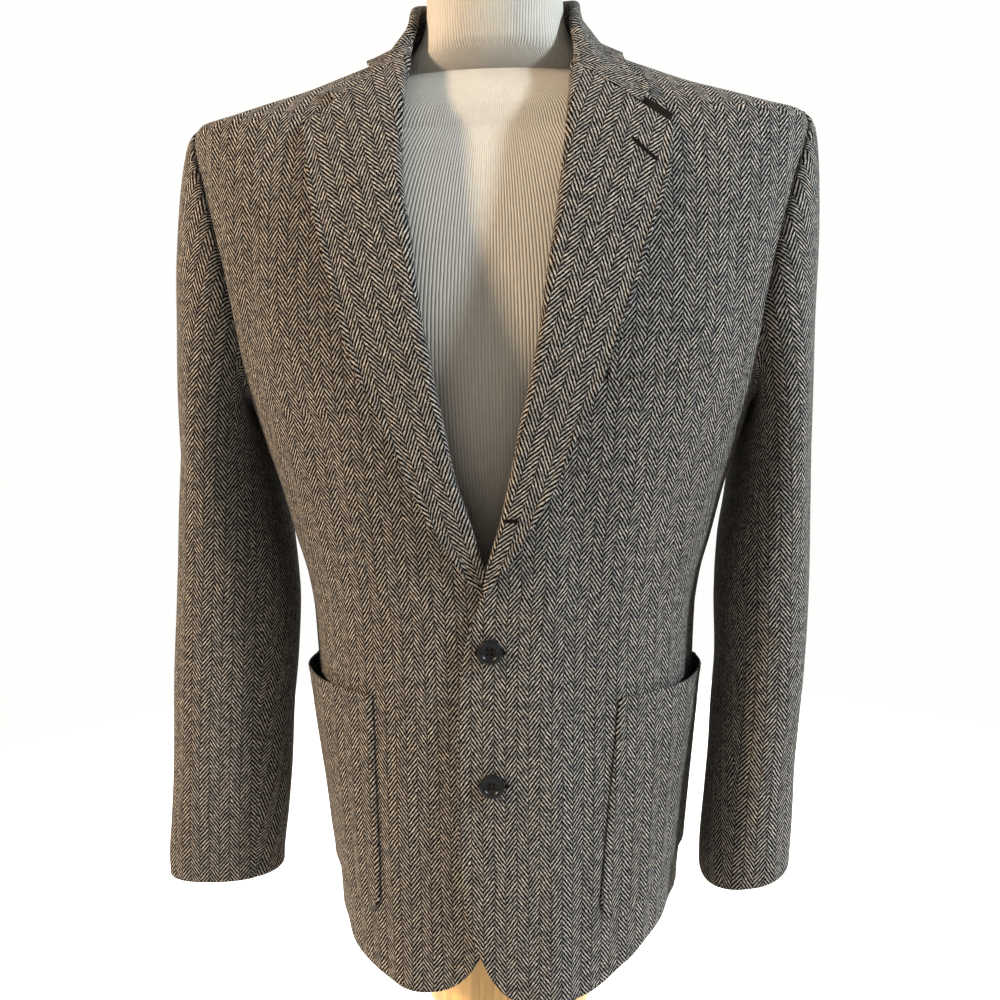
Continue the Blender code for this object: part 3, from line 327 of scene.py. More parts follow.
# ---- finer sizes, for the cloth as it is worn in ----
# Soft creases laid on the body: a trough (-) or ridge (+) between two places.
CREASE_COLUMNS = "angle_a height_a angle_b height_b width depth".split()
CREASES = {
    LEFT: (
        (-36, 1.185, -50, 1.060, 0.013, -0.0022),
        (-30, 1.120, -42, 1.010, 0.009, 0.0014),
        (-86, 0.998, -58, 1.018, 0.007, -0.0008),
        (-84, 0.955, -63, 0.930, 0.009, -0.0008),
        (-66, 0.845, -58, 0.725, 0.013, 0.0016),
        (-78, 0.860, -80, 0.730, 0.012, -0.0012),
        (-47, 1.330, -36, 1.215, 0.012, -0.0016),
        (-60, 1.135, -66, 1.060, 0.010, 0.0010),
        (36, 1.330, 34, 1.130, 0.014, 0.0032),
        (48, 1.300, 44, 1.140, 0.012, -0.0022),
        (58, 1.060, 34, 1.030, 0.010, -0.0018),
        (74, 1.010, 50, 0.985, 0.009, 0.0014),
        (72, 0.900, 68, 0.730, 0.014, -0.0022)),
    RIGHT: (
        (-48, 1.215, -58, 1.070, 0.013, -0.0020),
        (-56, 1.130, -66, 1.010, 0.009, 0.0012),
        (-80, 1.005, -52, 1.020, 0.008, -0.0010),
        (-76, 0.960, -56, 0.985, 0.007, 0.0007),
        (-68, 0.830, -62, 0.722, 0.013, -0.0018),
        (-79, 0.850, -74, 0.735, 0.012, 0.0013),
        (-45, 1.335, -36, 1.225, 0.013, -0.0018),
        (-34, 1.150, -26, 1.020, 0.010, -0.0014),
        (38, 1.330, 36, 1.120, 0.015, 0.0030),
        (50, 1.290, 45, 1.150, 0.011, -0.0020),
        (62, 1.040, 36, 1.020, 0.011, -0.0020),
        (70, 0.985, 48, 0.970, 0.008, 0.0012),
        (70, 0.880, 74, 0.735, 0.014, -0.0020)),
}
# The same on the sleeves, by the angle round each sleeve and the height.
SLEEVE_CREASES = {
    LEFT: (
        (58, 1.040, 100, 1.020, 0.010, -0.0020),
        (52, 1.000, 96, 0.985, 0.009, 0.0014),
        (60, 0.965, 104, 0.955, 0.010, -0.0017),
        (34, 1.290, 52, 1.080, 0.012, -0.0016),
        (12, 1.220, 20, 0.960, 0.013, 0.0014),
        (70, 0.900, 62, 0.790, 0.011, -0.0014),
        (-20, 1.330, -10, 1.120, 0.012, -0.0014),
        (-60, 1.120, -80, 0.900, 0.013, 0.0018),
        (205, 1.020, 240, 1.000, 0.010, -0.0018),
        (210, 0.960, 245, 0.950, 0.009, -0.0015)),
    RIGHT: (
        (62, 1.060, 104, 1.035, 0.011, -0.0020),
        (56, 1.015, 100, 0.995, 0.009, 0.0013),
        (66, 0.975, 108, 0.960, 0.010, -0.0018),
        (40, 1.280, 60, 1.090, 0.013, -0.0018),
        (18, 1.180, 30, 0.930, 0.013, -0.0013),
        (74, 0.890, 60, 0.780, 0.012, 0.0015),
        (-18, 1.320, -12, 1.140, 0.012, 0.0012),
        (-58, 1.100, -76, 0.890, 0.013, -0.0018),
        (208, 1.030, 242, 1.010, 0.010, -0.0018),
        (204, 0.950, 240, 0.940, 0.010, 0.0014)),
}
SEAM_DIP = 0.0006        # how far a sewn edge sinks, and how wide that valley is
SEAM_WIDTH = 0.0018
TUCK, TUCK_AWAY = 0.0026, 0.0012      # how deep a sleeve's seam is turned in, and how far from the panel
SLEEVE_ENDS = {"topsleeve": (-114.0, 127.9), "undersleeve": (128.2, 245.8)}
TOP_STITCH = 0.0065      # the pockets' stitching, this far inside their edges
COARSE_ROWS, COARSE_COLUMNS = 44, 17        # the grid on which a flat pattern is relaxed
PICKS_AT_BENDS = 0.06    # metres of cloth that a bend of one radian counts for in that grid
FLOOR_REACH, FLOOR_SIDES = 2.4, 96

BODY_RADIUS, ARM_RADIUS = 0.19, 0.045      # turn the creases' angles into metres
POCKET_WIDTH = 0.165     # of a pocket along the cloth
POCKET_HEM = 0.030       # depth of the hem at a pocket's mouth
POCKET_FELLED = 0.0011   # how far a pocket's sewn edge is pressed down
POCKET_GRID = (72, 60)   # rows and columns
POCKET_CROWD = 1.15      # the power by which those rows crowd towards the bottom
MOUTH_OPEN = 0.0010      # how far the top edge of a pocket or a band stands off
WELT_GRID, TAB_GRID = (70, 26), (30, 16)      # columns and rows
WELT_SHIFT = (0.0030, 0.0021)         # the welt's weave lies this far off the front's, across and up
BACK_COLUMNS = 52
GRAIN_SHARE = 0.6        # across a back, where its line of the grain runs
YOKE_ROWS = (1.200, 1.330)            # between these a back's weave turns from plumb to over the shoulder
DART_TOP, DART_BOTTOM = (0.1565, 1.2060), (0.1655, 1.0800)    # the left front's dart: across, height
HOLE_CORD = 0.00070      # radius of the cord round a buttonhole
HOLE_LENGTH, HOLE_WIDTH = 0.0240, 0.0016
HOLE_ACROSS = BUTTON_ACROSS + 0.0020
# The lapel's buttonholes: name, across, height, first column looked in, lean in radians, length.
LAPEL_HOLES = (("buttonhole_3", 0.0150, 1.1040, 8, 0.1, 0.0090),
               ("lapel_buttonhole", 0.1127, 1.3692, 14, -0.50, 0.0215))
THREAD = 0.00022         # radius of the stitches' thread
STITCH_GAP, STITCH_DROP = 0.45, 0.004     # of a stitch's length; and below the pocket's top edge
BAR_COLUMN, BAR_ROWS = 67.4, (1.5, 23.5)      # the welt's bar, on its grid
BUTTON_SIDES = 96
BUTTON_RIM = ((0.0100, 0.0023), (0.0100, 0.0013), (0.0096, 0.0007), (0.0080, 0.0002), (0.0001, 0.0002))
THREAD_HOLE, THREAD_HOLE_AWAY = 0.00105, 0.0024      # a button's holes: radius, and how far from its middle
HOLE_TURNS = [math.radians(45 + 90 * k) for k in range(4)]
FORM_LEVEL = 1.05        # below this the form's rings are level
NECK_SEAM_HEIGHT = 1.4570
NECK_ROWS = (1.462, 1.556, 36)        # heights of the neck's rings: from, to and how many
NECK_ROUND = ((1.5585, 0.0012), (1.5598, 0.0034))             # and of those that round its top: how far in
BASE_TOP = 0.0281
EDGE_SWELL = 0.0006      # how far a lapel's edge swells beside its seam
BODY_LEAN, LAPEL_LEAN, SLEEVE_LEAN = 4.0, 4.0, 6.0            # of the grain from upright, in degrees

# The view: where the camera stands, how it is turned, and its focal length on its sensor.
CAMERA_AWAY = 0.8386
CAMERA_HEIGHT = 1.2537
CAMERA_SIDE = -0.0024
CAMERA_TURN = 3.594      # degrees about Z
CAMERA_DOWN = 11.033
CAMERA_ROLL = 0.955
CAMERA_LENS, CAMERA_SENSOR = 34.58, 36.0      # mm
DIM_FROM_TO = (-0.70, 0.15)  # how far forward (-) and back the room light changes to the white behind
# The lamps: name, place, height each faces on the axis, width, power and colour.
LAMPS = (
    ("warm side", (-3.1, -1.2, 2.9), 1.15, 0.45, 265.0, (1.0, 0.78, 0.57)),
    ("cool side", (3.1, -1.2, 2.7), 1.15, 0.45, 235.0, (0.80, 0.90, 1.0)),
    ("front", (-0.3, -3.2, 1.5), 1.10, 2.4, 16.0, (1.0, 0.90, 0.78)),
    ("top", (0.0, -0.4, 3.6), 1.20, 2.0, 10.0, (1.0, 0.97, 0.92)),
    ("rear", (0.6, 3.2, 2.4), 1.10, 2.4, 90.0, (1.0, 0.97, 0.93)),
)


# ---- the figure ----
def unit(vectors):
    """The same directions with length 1."""
    return vectors / np.linalg.norm(vectors, axis=-1, keepdims=True)


def reaches(grid):
    """The distance down each column of a grid from its first row."""
    steps = np.linalg.norm(np.diff(grid, axis=0), axis=-1)
    return np.concatenate([np.zeros((1, grid.shape[1])), np.cumsum(steps, axis=0)])


def row_reaches(grid):
    """The distance along each row of a grid from its first column."""
    return reaches(grid.transpose(1, 0, 2)).T


def body_point(angle, height):
    """A point of the figure: angle -90 is centre front, 0 the side, 90 centre back (radians here)."""
    cos, sin = np.cos(angle), np.sin(angle)
    power = 2.0 / BODY("square", height)
    reach = np.where(sin < 0, BODY("front", height), BODY("back", height))
    across = BODY("half_width", height) * np.sign(cos) * np.abs(cos) ** power
    return np.stack([across, reach * np.sign(sin) * np.abs(sin) ** power, height + 0 * across], axis=-1)


def body_normal(angle, height):
    """Outward direction there: the oval's own level normal, tilted by how the ring grows upwards."""
    step = 0.0015
    point = body_point(angle, height)
    rise = (body_point(angle, height + step) - body_point(angle, height - step)) / (2 * step)
    square = BODY("square", height)
    width = BODY("half_width", height)
    reach = np.where(point[..., 1] < 0, BODY("front", height), BODY("back", height))
    level_x = np.sign(point[..., 0]) * np.abs(point[..., 0] / width) ** (square - 1) / width
    level_y = np.sign(point[..., 1]) * np.abs(point[..., 1] / reach) ** (square - 1) / reach
    length = np.hypot(level_x, level_y)
    level_x, level_y = level_x / length, level_y / length
    tilt = -(level_x * rise[..., 0] + level_y * rise[..., 1])
    return unit(np.stack([level_x, level_y, tilt], axis=-1))


def angle_at(across, height):
    """The angle on the front of the figure whose point lies this far across on its own side."""
    share = np.clip(across / BODY("half_width", height), -1, 1)
    return -np.arccos(np.sign(share) * np.abs(share) ** (BODY("square", height) / 2))


def ring_ratio(points):
    """1 for points on the figure, more outside it and less inside."""
    across, deep, height = points[..., 0], points[..., 1], points[..., 2]
    reach = np.where(deep < 0, BODY("front", height), BODY("back", height))
    square = BODY("square", height)
    total = np.abs(across / BODY("half_width", height)) ** square + np.abs(deep / reach) ** square
    return total ** (1 / square)


def ease_off(points, need):
    """Points nearer the figure than need are moved straight out of it until they keep that much."""
    step = 0.0005
    slope = np.stack([(ring_ratio(points + step * axis) - ring_ratio(points - step * axis)) / (2 * step)
                      for axis in np.eye(3)], axis=-1)
    steep = np.linalg.norm(slope, axis=-1)
    push = np.clip(need - (ring_ratio(points) - 1) / steep, 0, None)
    return points + slope * (push / steep)[..., None]


def smooth(value):
    """0 below 0, 1 above 1, and an even ease between them."""
    value = np.clip(value, 0, 1)
    return value * value * (3 - 2 * value)


def fold_height(side, angle, height):
    """The folds' relief: for each row a bell across it that swells and dies along it."""
    relief = 0.0
    for row in FOLDS[side]:
        fold = dict(zip(FOLD_COLUMNS, row))
        bell = np.exp(-((np.degrees(angle) - fold["angle"]) / fold["width"]) ** 2)
        along = (fold["high"] - height) / (fold["high"] - fold["low"])
        relief = relief + fold["height"] * bell * smooth(along * 1.6)
    return relief


def lap_lift(side, angle, height):
    """How far the left front stands off the figure where it laps over the right one."""
    if side == RIGHT:
        return 0.0 * height
    across = body_point(angle, height)[..., 0]
    return LAP("lift", height) * smooth((LAP_END - across) / (LAP_END - LAP_FULL)) * (np.sin(angle) < 0)


def cloth_point(side, angle, height, lift=0.0):
    """A point on the hanging cloth, with its folds and the hem's dip, moved out by lift."""
    fade = smooth(1 - (height - HEM) / HEM_FADE)
    level = height + fade * HEM_DIP[side]("dip", np.degrees(angle))
    out = lift + fold_height(side, angle, height) + lap_lift(side, angle, height)
    point = body_point(angle, level) + body_normal(angle, level) * np.asarray(out)[..., None]
    return point * np.array([side, 1, 1])


def even_angles(start, end, heights, columns):
    """Angles from start to end on each ring, at even distances along the cloth."""
    share = np.linspace(0, 1, 200)[:, None]
    angles = start + (end - start) * share
    length = reaches(body_point(angles, heights + 0 * angles))
    length = length / length[-1]
    wanted = np.linspace(0, 1, columns)
    return np.stack([np.interp(wanted, length[:, i], angles[:, i]) for i in range(len(heights))])


def in_metres(distance, angle, height):
    """The change of angle that makes this distance along the ring."""
    near = body_point(angle + 0.01, height) - body_point(angle - 0.01, height)
    return distance * 0.02 / np.linalg.norm(near, axis=-1)


def rows_between(low, high, count, *extra):
    """Even heights from low to high, with some more where an outline turns."""
    return np.unique(np.round(np.concatenate([np.linspace(low, high, count), extra]), 5))


def armhole_edge(heights, column):
    """The armhole's angle at these heights, zero above its top, where the shoulder seam runs."""
    edge = np.radians(ARMHOLE(column, heights))
    return np.where((heights <= ARMPIT) | (heights >= SHOULDER), 0.0, edge)


def neck_across(side, heights):
    """Where a front ends beside the collar's seam, above the lapel's top."""
    seam = collar_half(side, np.array([COLLAR_FIRST]), np.linspace(0, 0.37, 30))[:, 0]
    return np.interp(heights, seam[:, 2], np.abs(seam[:, 0])) + COLLAR_WALL / 2 + 4 * SEAM


# ---- lapels and collar ----
def turned_points(side, roll, edge, radius, stand, share):
    """Points across a turned edge: round the roll with its radius, then out to the edge.

    roll and edge are (across, height) on the front; share runs 0 to 1 from where the roll
    leaves the front, through a half turn towards the opening, to the outer edge.
    """
    away = np.stack([edge[0] - roll[0], edge[1] - roll[1]])
    width = np.hypot(*away)
    away = away / width
    turn = np.clip(share / ROLL_SHARE, 0, 1) * np.pi
    out = np.clip((share - ROLL_SHARE) / (1 - ROLL_SHARE), 0, 1)
    along = np.where(share < ROLL_SHARE, -radius * np.sin(turn) - 0.0003, width * out - 0.0003)
    lift = np.where(share < ROLL_SHARE, radius * (1 - np.cos(turn)),
                    2 * radius + (stand - 2 * radius) * smooth(out))
    across = roll[0] + away[0] * along
    height = roll[1] + away[1] * along
    angle = angle_at(across, height)
    return cloth_point(side, angle, height, lift)


def lapel_row(side, height, share, shift=0.0):
    """One row of a lapel; shift moves it up, for the collar that joins its top."""
    table = LAPEL[side]
    roll = (table("across", height), height + shift)
    edge = (table("edge_x", height), table("edge_z", height) + shift)
    return turned_points(side, roll, edge, table("radius", height), table("stand", height), share)


def notch_share(side):
    """How far along a lapel's top row its gorge seam ends."""
    top = LAPEL_TOP[side]
    roll = np.array([LAPEL[side]("across", top), top])
    tip = np.array([LAPEL[side]("edge_x", top), LAPEL[side]("edge_z", top)])
    way = (tip - roll) / np.linalg.norm(tip - roll)
    out = (np.array(NOTCH[side]) - roll) @ way / np.linalg.norm(tip - roll)
    return ROLL_SHARE + (1 - ROLL_SHARE) * out


def collar_front(side, share):
    """The collar's end: along the lapel's top as far as the notch, then out to the collar's tip."""
    gap = SEAM * 1.6
    turn_share = notch_share(side)
    knee = 0.80
    top = LAPEL_TOP[side]
    inner = lapel_row(side, top, np.minimum(share / knee, 1) * turn_share, gap)
    corner = lapel_row(side, top, np.array([turn_share]), gap)[0]
    tip_angle = angle_at(COLLAR_TIP[side][0], COLLAR_TIP[side][1])
    tip = cloth_point(side, tip_angle, COLLAR_TIP[side][1], LAPEL[side]("stand", top) + 0.0006)
    out = np.clip((share - knee) / (1 - knee), 0, 1)[:, None]
    return np.where(share[:, None] <= knee, inner, corner + (tip - corner) * out)


def collar_section(side, way, share):
    """The collar further round: up its stand, over the fold, and down its fall to the edge."""
    table, radius = COLLAR[side], COLLAR_FOLD
    seam_angle, seam_height = np.radians(table("seam_angle", way)), table("seam_height", way)
    seam = cloth_point(side, seam_angle, seam_height) + np.array([0, 0, 0.0019])
    edge = cloth_point(side, np.radians(table("edge_angle", way)), table("edge_height", way), COLLAR_LIFT)
    fold = np.array([side * table("fold_x", way), table("fold_y", way), table("fold_z", way)])
    out = edge - fold
    out[2] = 0
    out = out / np.linalg.norm(out)
    up = np.array([0, 0, 1.0])
    centre = fold - radius * up
    inner = centre - radius * out
    outer = centre + radius * out
    bow = outer + np.array([0, 0, -0.72]) * (outer[2] - edge[2]) + out * 0.06 * np.linalg.norm(edge - outer)
    s = share[:, None]
    stand = seam + (inner - seam) * (s / 0.30)
    turn = np.clip((s - 0.30) / 0.20, 0, 1) * np.pi
    roll = centre - radius * np.cos(turn) * out + radius * np.sin(turn) * up
    t = np.clip((s - 0.50) / 0.50, 0, 1)
    fall = (1 - t) ** 2 * outer + 2 * t * (1 - t) * bow + t * t * edge
    return np.where(s < 0.30, stand, np.where(s < 0.50, roll, fall))


def collar_half(side, share, ways):
    """Rows of half the collar from its front end to the centre back.

    Its first row is the lapel's top; what that differs by from the plain section there fades out.
    """
    fix = collar_front(side, share) - collar_section(side, 0.0, share)
    rows = np.stack([collar_section(side, way, share) + fix * (1 - smooth(np.array(way / COLLAR_JOIN)))
                     for way in ways])
    low = (smooth((share - 0.50) / 0.08) * smooth((COLLAR_REACH - rows[..., 2]) / 0.004)
           * smooth(ways / 0.05)[:, None])
    return rows + (ease_off(rows, COLLAR_LIFT) - rows) * low[..., None]


# ---- sleeves ----
def armhole_loop(side, around, lift):
    """Points round the armhole's edge, moved out of the figure, and outward directions there.

    Zero is the shoulder end, and the angle runs down the front.
    """
    angle = np.radians(around)
    height = ARMPIT + (SHOULDER - ARMPIT) * (1 + np.cos(angle)) / 2
    to_front, to_back = (np.radians(ARMHOLE(way, height)) for way in ("to_front", "to_back"))
    turn = np.where(np.sin(angle) >= 0, -to_front, to_back)
    normal = body_normal(turn, height)
    return (body_point(turn, height) + normal * lift) * [side, 1, 1], normal * [side, 1, 1]


def sleeve_section(side, around, height):
    """A level section of the lower sleeve: a rounded oval between its four sides."""
    angle = np.radians(around)
    table = SLEEVE[side]
    inner, outer = table("inner", height) + WALL / 2, table("outer", height) - WALL / 2
    front_y, back_y = table("front", height), table("back", height)
    power = 2 / SLEEVE_SQUARE
    cos = np.sign(np.cos(angle)) * np.abs(np.cos(angle)) ** power
    sin = np.sign(np.sin(angle)) * np.abs(np.sin(angle)) ** power
    x = (inner + outer) / 2 + (outer - inner) / 2 * cos
    y = (front_y + back_y) / 2 - (back_y - front_y) / 2 * sin
    return np.stack([x * side, y, height + 0 * x], axis=-1)


# ---- surfaces and their flat patterns ----
def crease_height(creases, turn, height, radius):
    """The creases' relief: a bell across the line between two places, easing out at its ends.

    turn is in degrees and radius turns it into metres, so that widths are real ones.
    """
    relief = 0.0 * height
    for row in creases:
        crease = dict(zip(CREASE_COLUMNS, row))
        start = np.array([math.radians(crease["angle_a"]) * radius, crease["height_a"]])
        way = np.array([math.radians(crease["angle_b"]) * radius, crease["height_b"]]) - start
        length = np.hypot(*way)
        way = way / length
        x, z = np.radians(turn) * radius - start[0], height - start[1]
        along = (x * way[0] + z * way[1]) / length
        off = (x * way[1] - z * way[0]) / crease["width"]
        ends = smooth(along / 0.35 + 0.3) * smooth((1 - along) / 0.45 + 0.3)
        relief = relief + crease["depth"] * np.exp(-off * off) * ends
    return relief


def normals_of(grid, flip):
    """Unit normals of a grid: the cross product of its two gradients."""
    across = np.gradient(grid, axis=1)
    along = np.gradient(grid, axis=0)
    return unit(np.cross(across, along) * (-1 if flip else 1))


def flat_pattern(grid, rounds=40):
    """Where a grid's points lie when the cloth is laid flat with the least stretching.

    Each triangle is turned to fit its flat neighbours, then all the points are moved to fit the
    turned triangles, and so on in turns (as rigid as possible).
    """
    rows, columns = grid.shape[:2]
    index = np.arange(rows * columns).reshape(rows, columns)
    a, b, c, d = index[:-1, :-1], index[:-1, 1:], index[1:, 1:], index[1:, :-1]
    triangles = np.concatenate([np.stack(t, axis=-1).reshape(-1, 3) for t in ((a, b, c), (a, c, d))])
    points = grid.reshape(-1, 3)[triangles]
    first, second = points[:, 1] - points[:, 0], points[:, 2] - points[:, 0]
    base = np.linalg.norm(first, axis=1)
    lean = (first * second).sum(axis=1) / base
    rise = np.linalg.norm(np.cross(first, second), axis=1) / base
    zero = 0 * base
    local = np.stack([np.stack([zero, zero], 1), np.stack([base, zero], 1), np.stack([lean, rise], 1)], 1)
    count = rows * columns
    system = np.zeros((count, count))
    edges = []
    for i, j, k in ((0, 1, 2), (1, 2, 0), (2, 0, 1)):
        to_i, to_j = local[:, i] - local[:, k], local[:, j] - local[:, k]
        area = np.abs(to_i[:, 0] * to_j[:, 1] - to_i[:, 1] * to_j[:, 0])
        weight = np.clip((to_i * to_j).sum(axis=1) / area, 0.05, 5.0)
        p, q = triangles[:, i], triangles[:, j]
        for m, n in ((p, q), (q, p)):
            np.add.at(system, (m, m), weight)
            np.add.at(system, (m, n), -weight)
        edges.append((p, q, weight, local[:, i] - local[:, j]))
    system[0, 0] += 1.0
    solve = np.linalg.inv(system)
    wide = np.linalg.norm(np.diff(grid, axis=1), axis=-1).mean(axis=0)
    tall = np.linalg.norm(np.diff(grid, axis=0), axis=-1).mean(axis=1)
    u, v = np.meshgrid(np.append(0, np.cumsum(wide)), np.append(0, np.cumsum(tall)))
    flat = np.stack([u.ravel(), v.ravel()], axis=1)
    for _ in range(rounds):
        cos = 0.0 * base
        sin = 0.0 * base
        for p, q, weight, rest in edges:
            now = flat[p] - flat[q]
            cos = cos + weight * (now * rest).sum(axis=1)
            sin = sin + weight * (now[:, 1] * rest[:, 0] - now[:, 0] * rest[:, 1])
        size = np.hypot(cos, sin)
        cos, sin = cos / size, sin / size
        wanted = np.zeros((count, 2))
        for p, q, weight, rest in edges:
            turned = np.stack([cos * rest[:, 0] - sin * rest[:, 1], sin * rest[:, 0] + cos * rest[:, 1]], 1)
            pull = weight[:, None] * turned
            np.add.at(wanted, p, pull)
            np.add.at(wanted, q, -pull)
        flat = solve @ wanted
    return flat.reshape(rows, columns, 2)


def carried(values, known, wanted):
    """Values carried from known distances to wanted ones, down each column on its own smooth curve."""
    step = np.diff(known, axis=0)[..., None]
    slope = np.diff(values, axis=0) / step
    tangent = (slope[:-1] * step[1:] + slope[1:] * step[:-1]) / (step[1:] + step[:-1])
    tangent = np.concatenate([slope[:1], tangent, slope[-1:]])
    row = (wanted[:, None] >= known[None, 1:-1]).sum(axis=1)
    column = np.arange(known.shape[1])
    step = step[row, column]
    return curved((wanted - known[row, column])[..., None] / step, step, values[row, column],
                  values[row + 1, column], tangent[row, column], tangent[row + 1, column])


def even_picks(grid, count):
    """The rows of a grid that divide it most evenly, its ends among them, and more where it bends."""
    steps = np.diff(grid, axis=0)
    length = np.linalg.norm(steps, axis=-1)
    way = steps / length[..., None]
    bend = np.append(0, np.arccos(np.clip((way[1:] * way[:-1]).sum(axis=-1), -1, 1)).mean(axis=1))
    reach = np.append(0, np.cumsum(length.mean(axis=1) + PICKS_AT_BENDS * bend))
    wanted = np.linspace(0, reach[-1], min(count, len(reach)))
    return np.unique(np.abs(reach[:, None] - wanted).argmin(axis=0))


def weave_map(grid, grain, lean=0.0, start=(0.0, 0.0)):
    """A UV for each point of a grid: its flat pattern, turned so that the grain runs up.

    grain is two places on the grid, each as shares of its rows and columns; the first lands
    on start, and lean turns the cloth from their line, in degrees.  The pattern is relaxed on
    a coarser grid and carried to this one.
    """
    down, over = reaches(grid), reaches(grid.transpose(1, 0, 2))
    some_rows = even_picks(grid, COARSE_ROWS)
    some_columns = even_picks(grid.transpose(1, 0, 2), COARSE_COLUMNS)
    coarse = flat_pattern(grid[np.ix_(some_rows, some_columns)])
    tall = carried(coarse, down[np.ix_(some_rows, some_columns)], down[:, some_columns])
    flat = carried(tall.transpose(1, 0, 2), over[some_columns], over).transpose(1, 0, 2)
    rows, columns = grid.shape[:2]
    (low_row, low_column), (high_row, high_column) = grain
    low = flat[round(low_row * (rows - 1)), round(low_column * (columns - 1))]
    high = flat[round(high_row * (rows - 1)), round(high_column * (columns - 1))]
    up = (high - low) / np.linalg.norm(high - low)
    cos, sin = math.cos(math.radians(lean)), math.sin(math.radians(lean))
    up = np.array([up[0] * cos - up[1] * sin, up[0] * sin + up[1] * cos])
    moved = flat - low
    turned = np.stack([moved[..., 0] * up[1] - moved[..., 1] * up[0],
                       moved[..., 0] * up[0] + moved[..., 1] * up[1]], axis=-1)
    return turned + np.array(start)


def plumb_map(grid, beyond):
    """A UV for a panel whose grain hangs plumb.

    Across is the distance along a row from the last column, which lies beyond the line of the
    grain by the width given for each row; up is what a column climbs besides that, so that
    each column keeps its length.
    """
    across = row_reaches(grid)
    across = across - across[:, -1:] + beyond[:, None]
    steps = np.linalg.norm(np.diff(grid, axis=0), axis=-1)
    climb = np.sqrt(np.maximum(steps ** 2 - np.diff(across, axis=0) ** 2, 0))
    up = np.concatenate([0 * across[:1], np.cumsum(climb, axis=0)])
    return np.stack([across, up], axis=-1)


def grid_faces(rows, columns, flip=False, wrap=False):
    """The four-sided faces of a grid of points, closed round its columns when wrap is set."""
    index = np.arange(rows * columns).reshape(rows, columns)
    if wrap:
        index = np.concatenate([index, index[:, :1]], axis=1)
    faces = np.stack([index[:-1, :-1], index[:-1, 1:], index[1:, 1:], index[1:, :-1]], axis=-1)
    faces = faces.reshape(-1, 4)
    return faces[:, ::-1] if flip else faces


def capped_faces(rows, sides, flip=False):
    """The faces of rings stacked into a closed solid, with a flat face at either end."""
    first, last = range(sides), range((rows - 1) * sides, rows * sides)
    caps = [first, last[::-1]] if flip else [first[::-1], last]
    return grid_faces(rows, sides, flip=flip, wrap=True).tolist() + caps


def placed(name, data):
    """An object of this name in the scene."""
    made = bpy.data.objects.new(name, data)
    bpy.context.scene.collection.objects.link(made)
    return made


def new_piece(name, points, faces, finish, uv=None, sharp=50.0):
    """A mesh object of this name that rides on the part, smooth but for its sharp rims."""
    mesh = bpy.data.meshes.new(name)
    mesh.from_pydata(points.reshape(-1, 3).tolist(), [], [tuple(face) for face in faces])
    if uv is not None:
        layer = mesh.uv_layers.new(name="flat")
        corner = np.empty(len(mesh.loops), dtype=np.int32)
        mesh.loops.foreach_get("vertex_index", corner)
        layer.data.foreach_set("uv", uv.reshape(-1, 2)[corner].astype(np.float32).ravel())
    mesh.materials.append(bpy.data.materials[finish])
    made = placed(name, mesh)
    mesh.shade_smooth()
    mesh.set_sharp_from_angle(angle=math.radians(sharp))
    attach(made, "root")
    return made


def cloth_piece(node, grid, uv, wall, flip, rests_on=(), finish="tweed_cloth"):
    """The worn cloth of one cut piece: a grid with a wall and softened rims, in its node's place."""
    made = new_piece("cloth_" + node, grid, grid_faces(*grid.shape[:2], flip=flip), finish, uv)
    solid = made.modifiers.new("wall", "SOLIDIFY")
    solid.thickness = wall
    solid.offset = 0
    soft = made.modifiers.new("rims", "BEVEL")
    soft.width = wall * 0.28
    soft.segments = 2
    soft.limit_method = "ANGLE"
    soft.angle_limit = math.radians(55)
    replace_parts(made, node)
    return made


# ---- the body of the jacket ----
def worn_point(side, angle, height, lift=0.0):
    """A point of the worn cloth: cloth_point with the creases laid on it as well."""
    relief = crease_height(CREASES[side], np.degrees(angle), height, BODY_RADIUS)
    return cloth_point(side, angle, height, np.asarray(lift) + relief)


def seam_dip(*distances):
    """How deep the cloth sinks at sewn edges, by the distance to each: a narrow bell."""
    return -SEAM_DIP * sum(np.exp(-(d / SEAM_WIDTH) ** 2) for d in distances)


def row_lengths(angles, heights):
    """The distance along each ring from its first angle."""
    return row_reaches(body_point(angles, heights[:, None] + 0 * angles))


def front_bounds(side, heights):
    """The angles of a front's edge or roll line, and of its side seam or armhole."""
    rolled = LAPEL[side]("across", heights) + ROLL_PARTING
    across = np.where(heights > LAPEL_START[side] - 0.0001, rolled, EDGE[side]("across", heights))
    across = np.where(heights > LAPEL_TOP[side] - 0.0001, neck_across(side, heights), across)
    start = angle_at(across, heights)
    seam = np.where(heights > CHEST, 0.0, np.radians(FRONT_SEAM))
    end = -np.maximum(seam, armhole_edge(heights, "to_front"))
    return start, end - in_metres(SEAM / 2, end, heights)


@cache
def front_surface(side):
    """A front as (heights, angles, grid, flat): rings between its two bounds, evenly divided."""
    heights = rows_between(HEM, LAPEL_START[side], 70, *np.linspace(HEM, 0.73, 12), *SHOULDER_ROWS,
                           *np.linspace(LAPEL_START[side], LAPEL_TOP[side], 86), NECK_POINT,
                           *np.linspace(1.385, NECK_POINT, 60))
    start, end = front_bounds(side, heights)
    angles = even_angles(start, end, heights, 60)
    length = row_lengths(angles, heights)
    to_side = length[:, -1:] - length
    sewn = smooth((1.40 - heights) / 0.02)[:, None] * seam_dip(to_side)
    level = heights[:, None] + 0 * angles
    if side == LEFT:
        sewn = sewn + dart_dip(angles, level)
    grid = worn_point(side, angles, level, sewn)
    rows = len(heights)
    low, high = int(rows * 0.12), int(rows * 0.42)
    flat = weave_map(grid, ((low / rows, 0.35), (high / rows, 0.35)), BODY_LEAN)
    return heights, angles, grid, flat


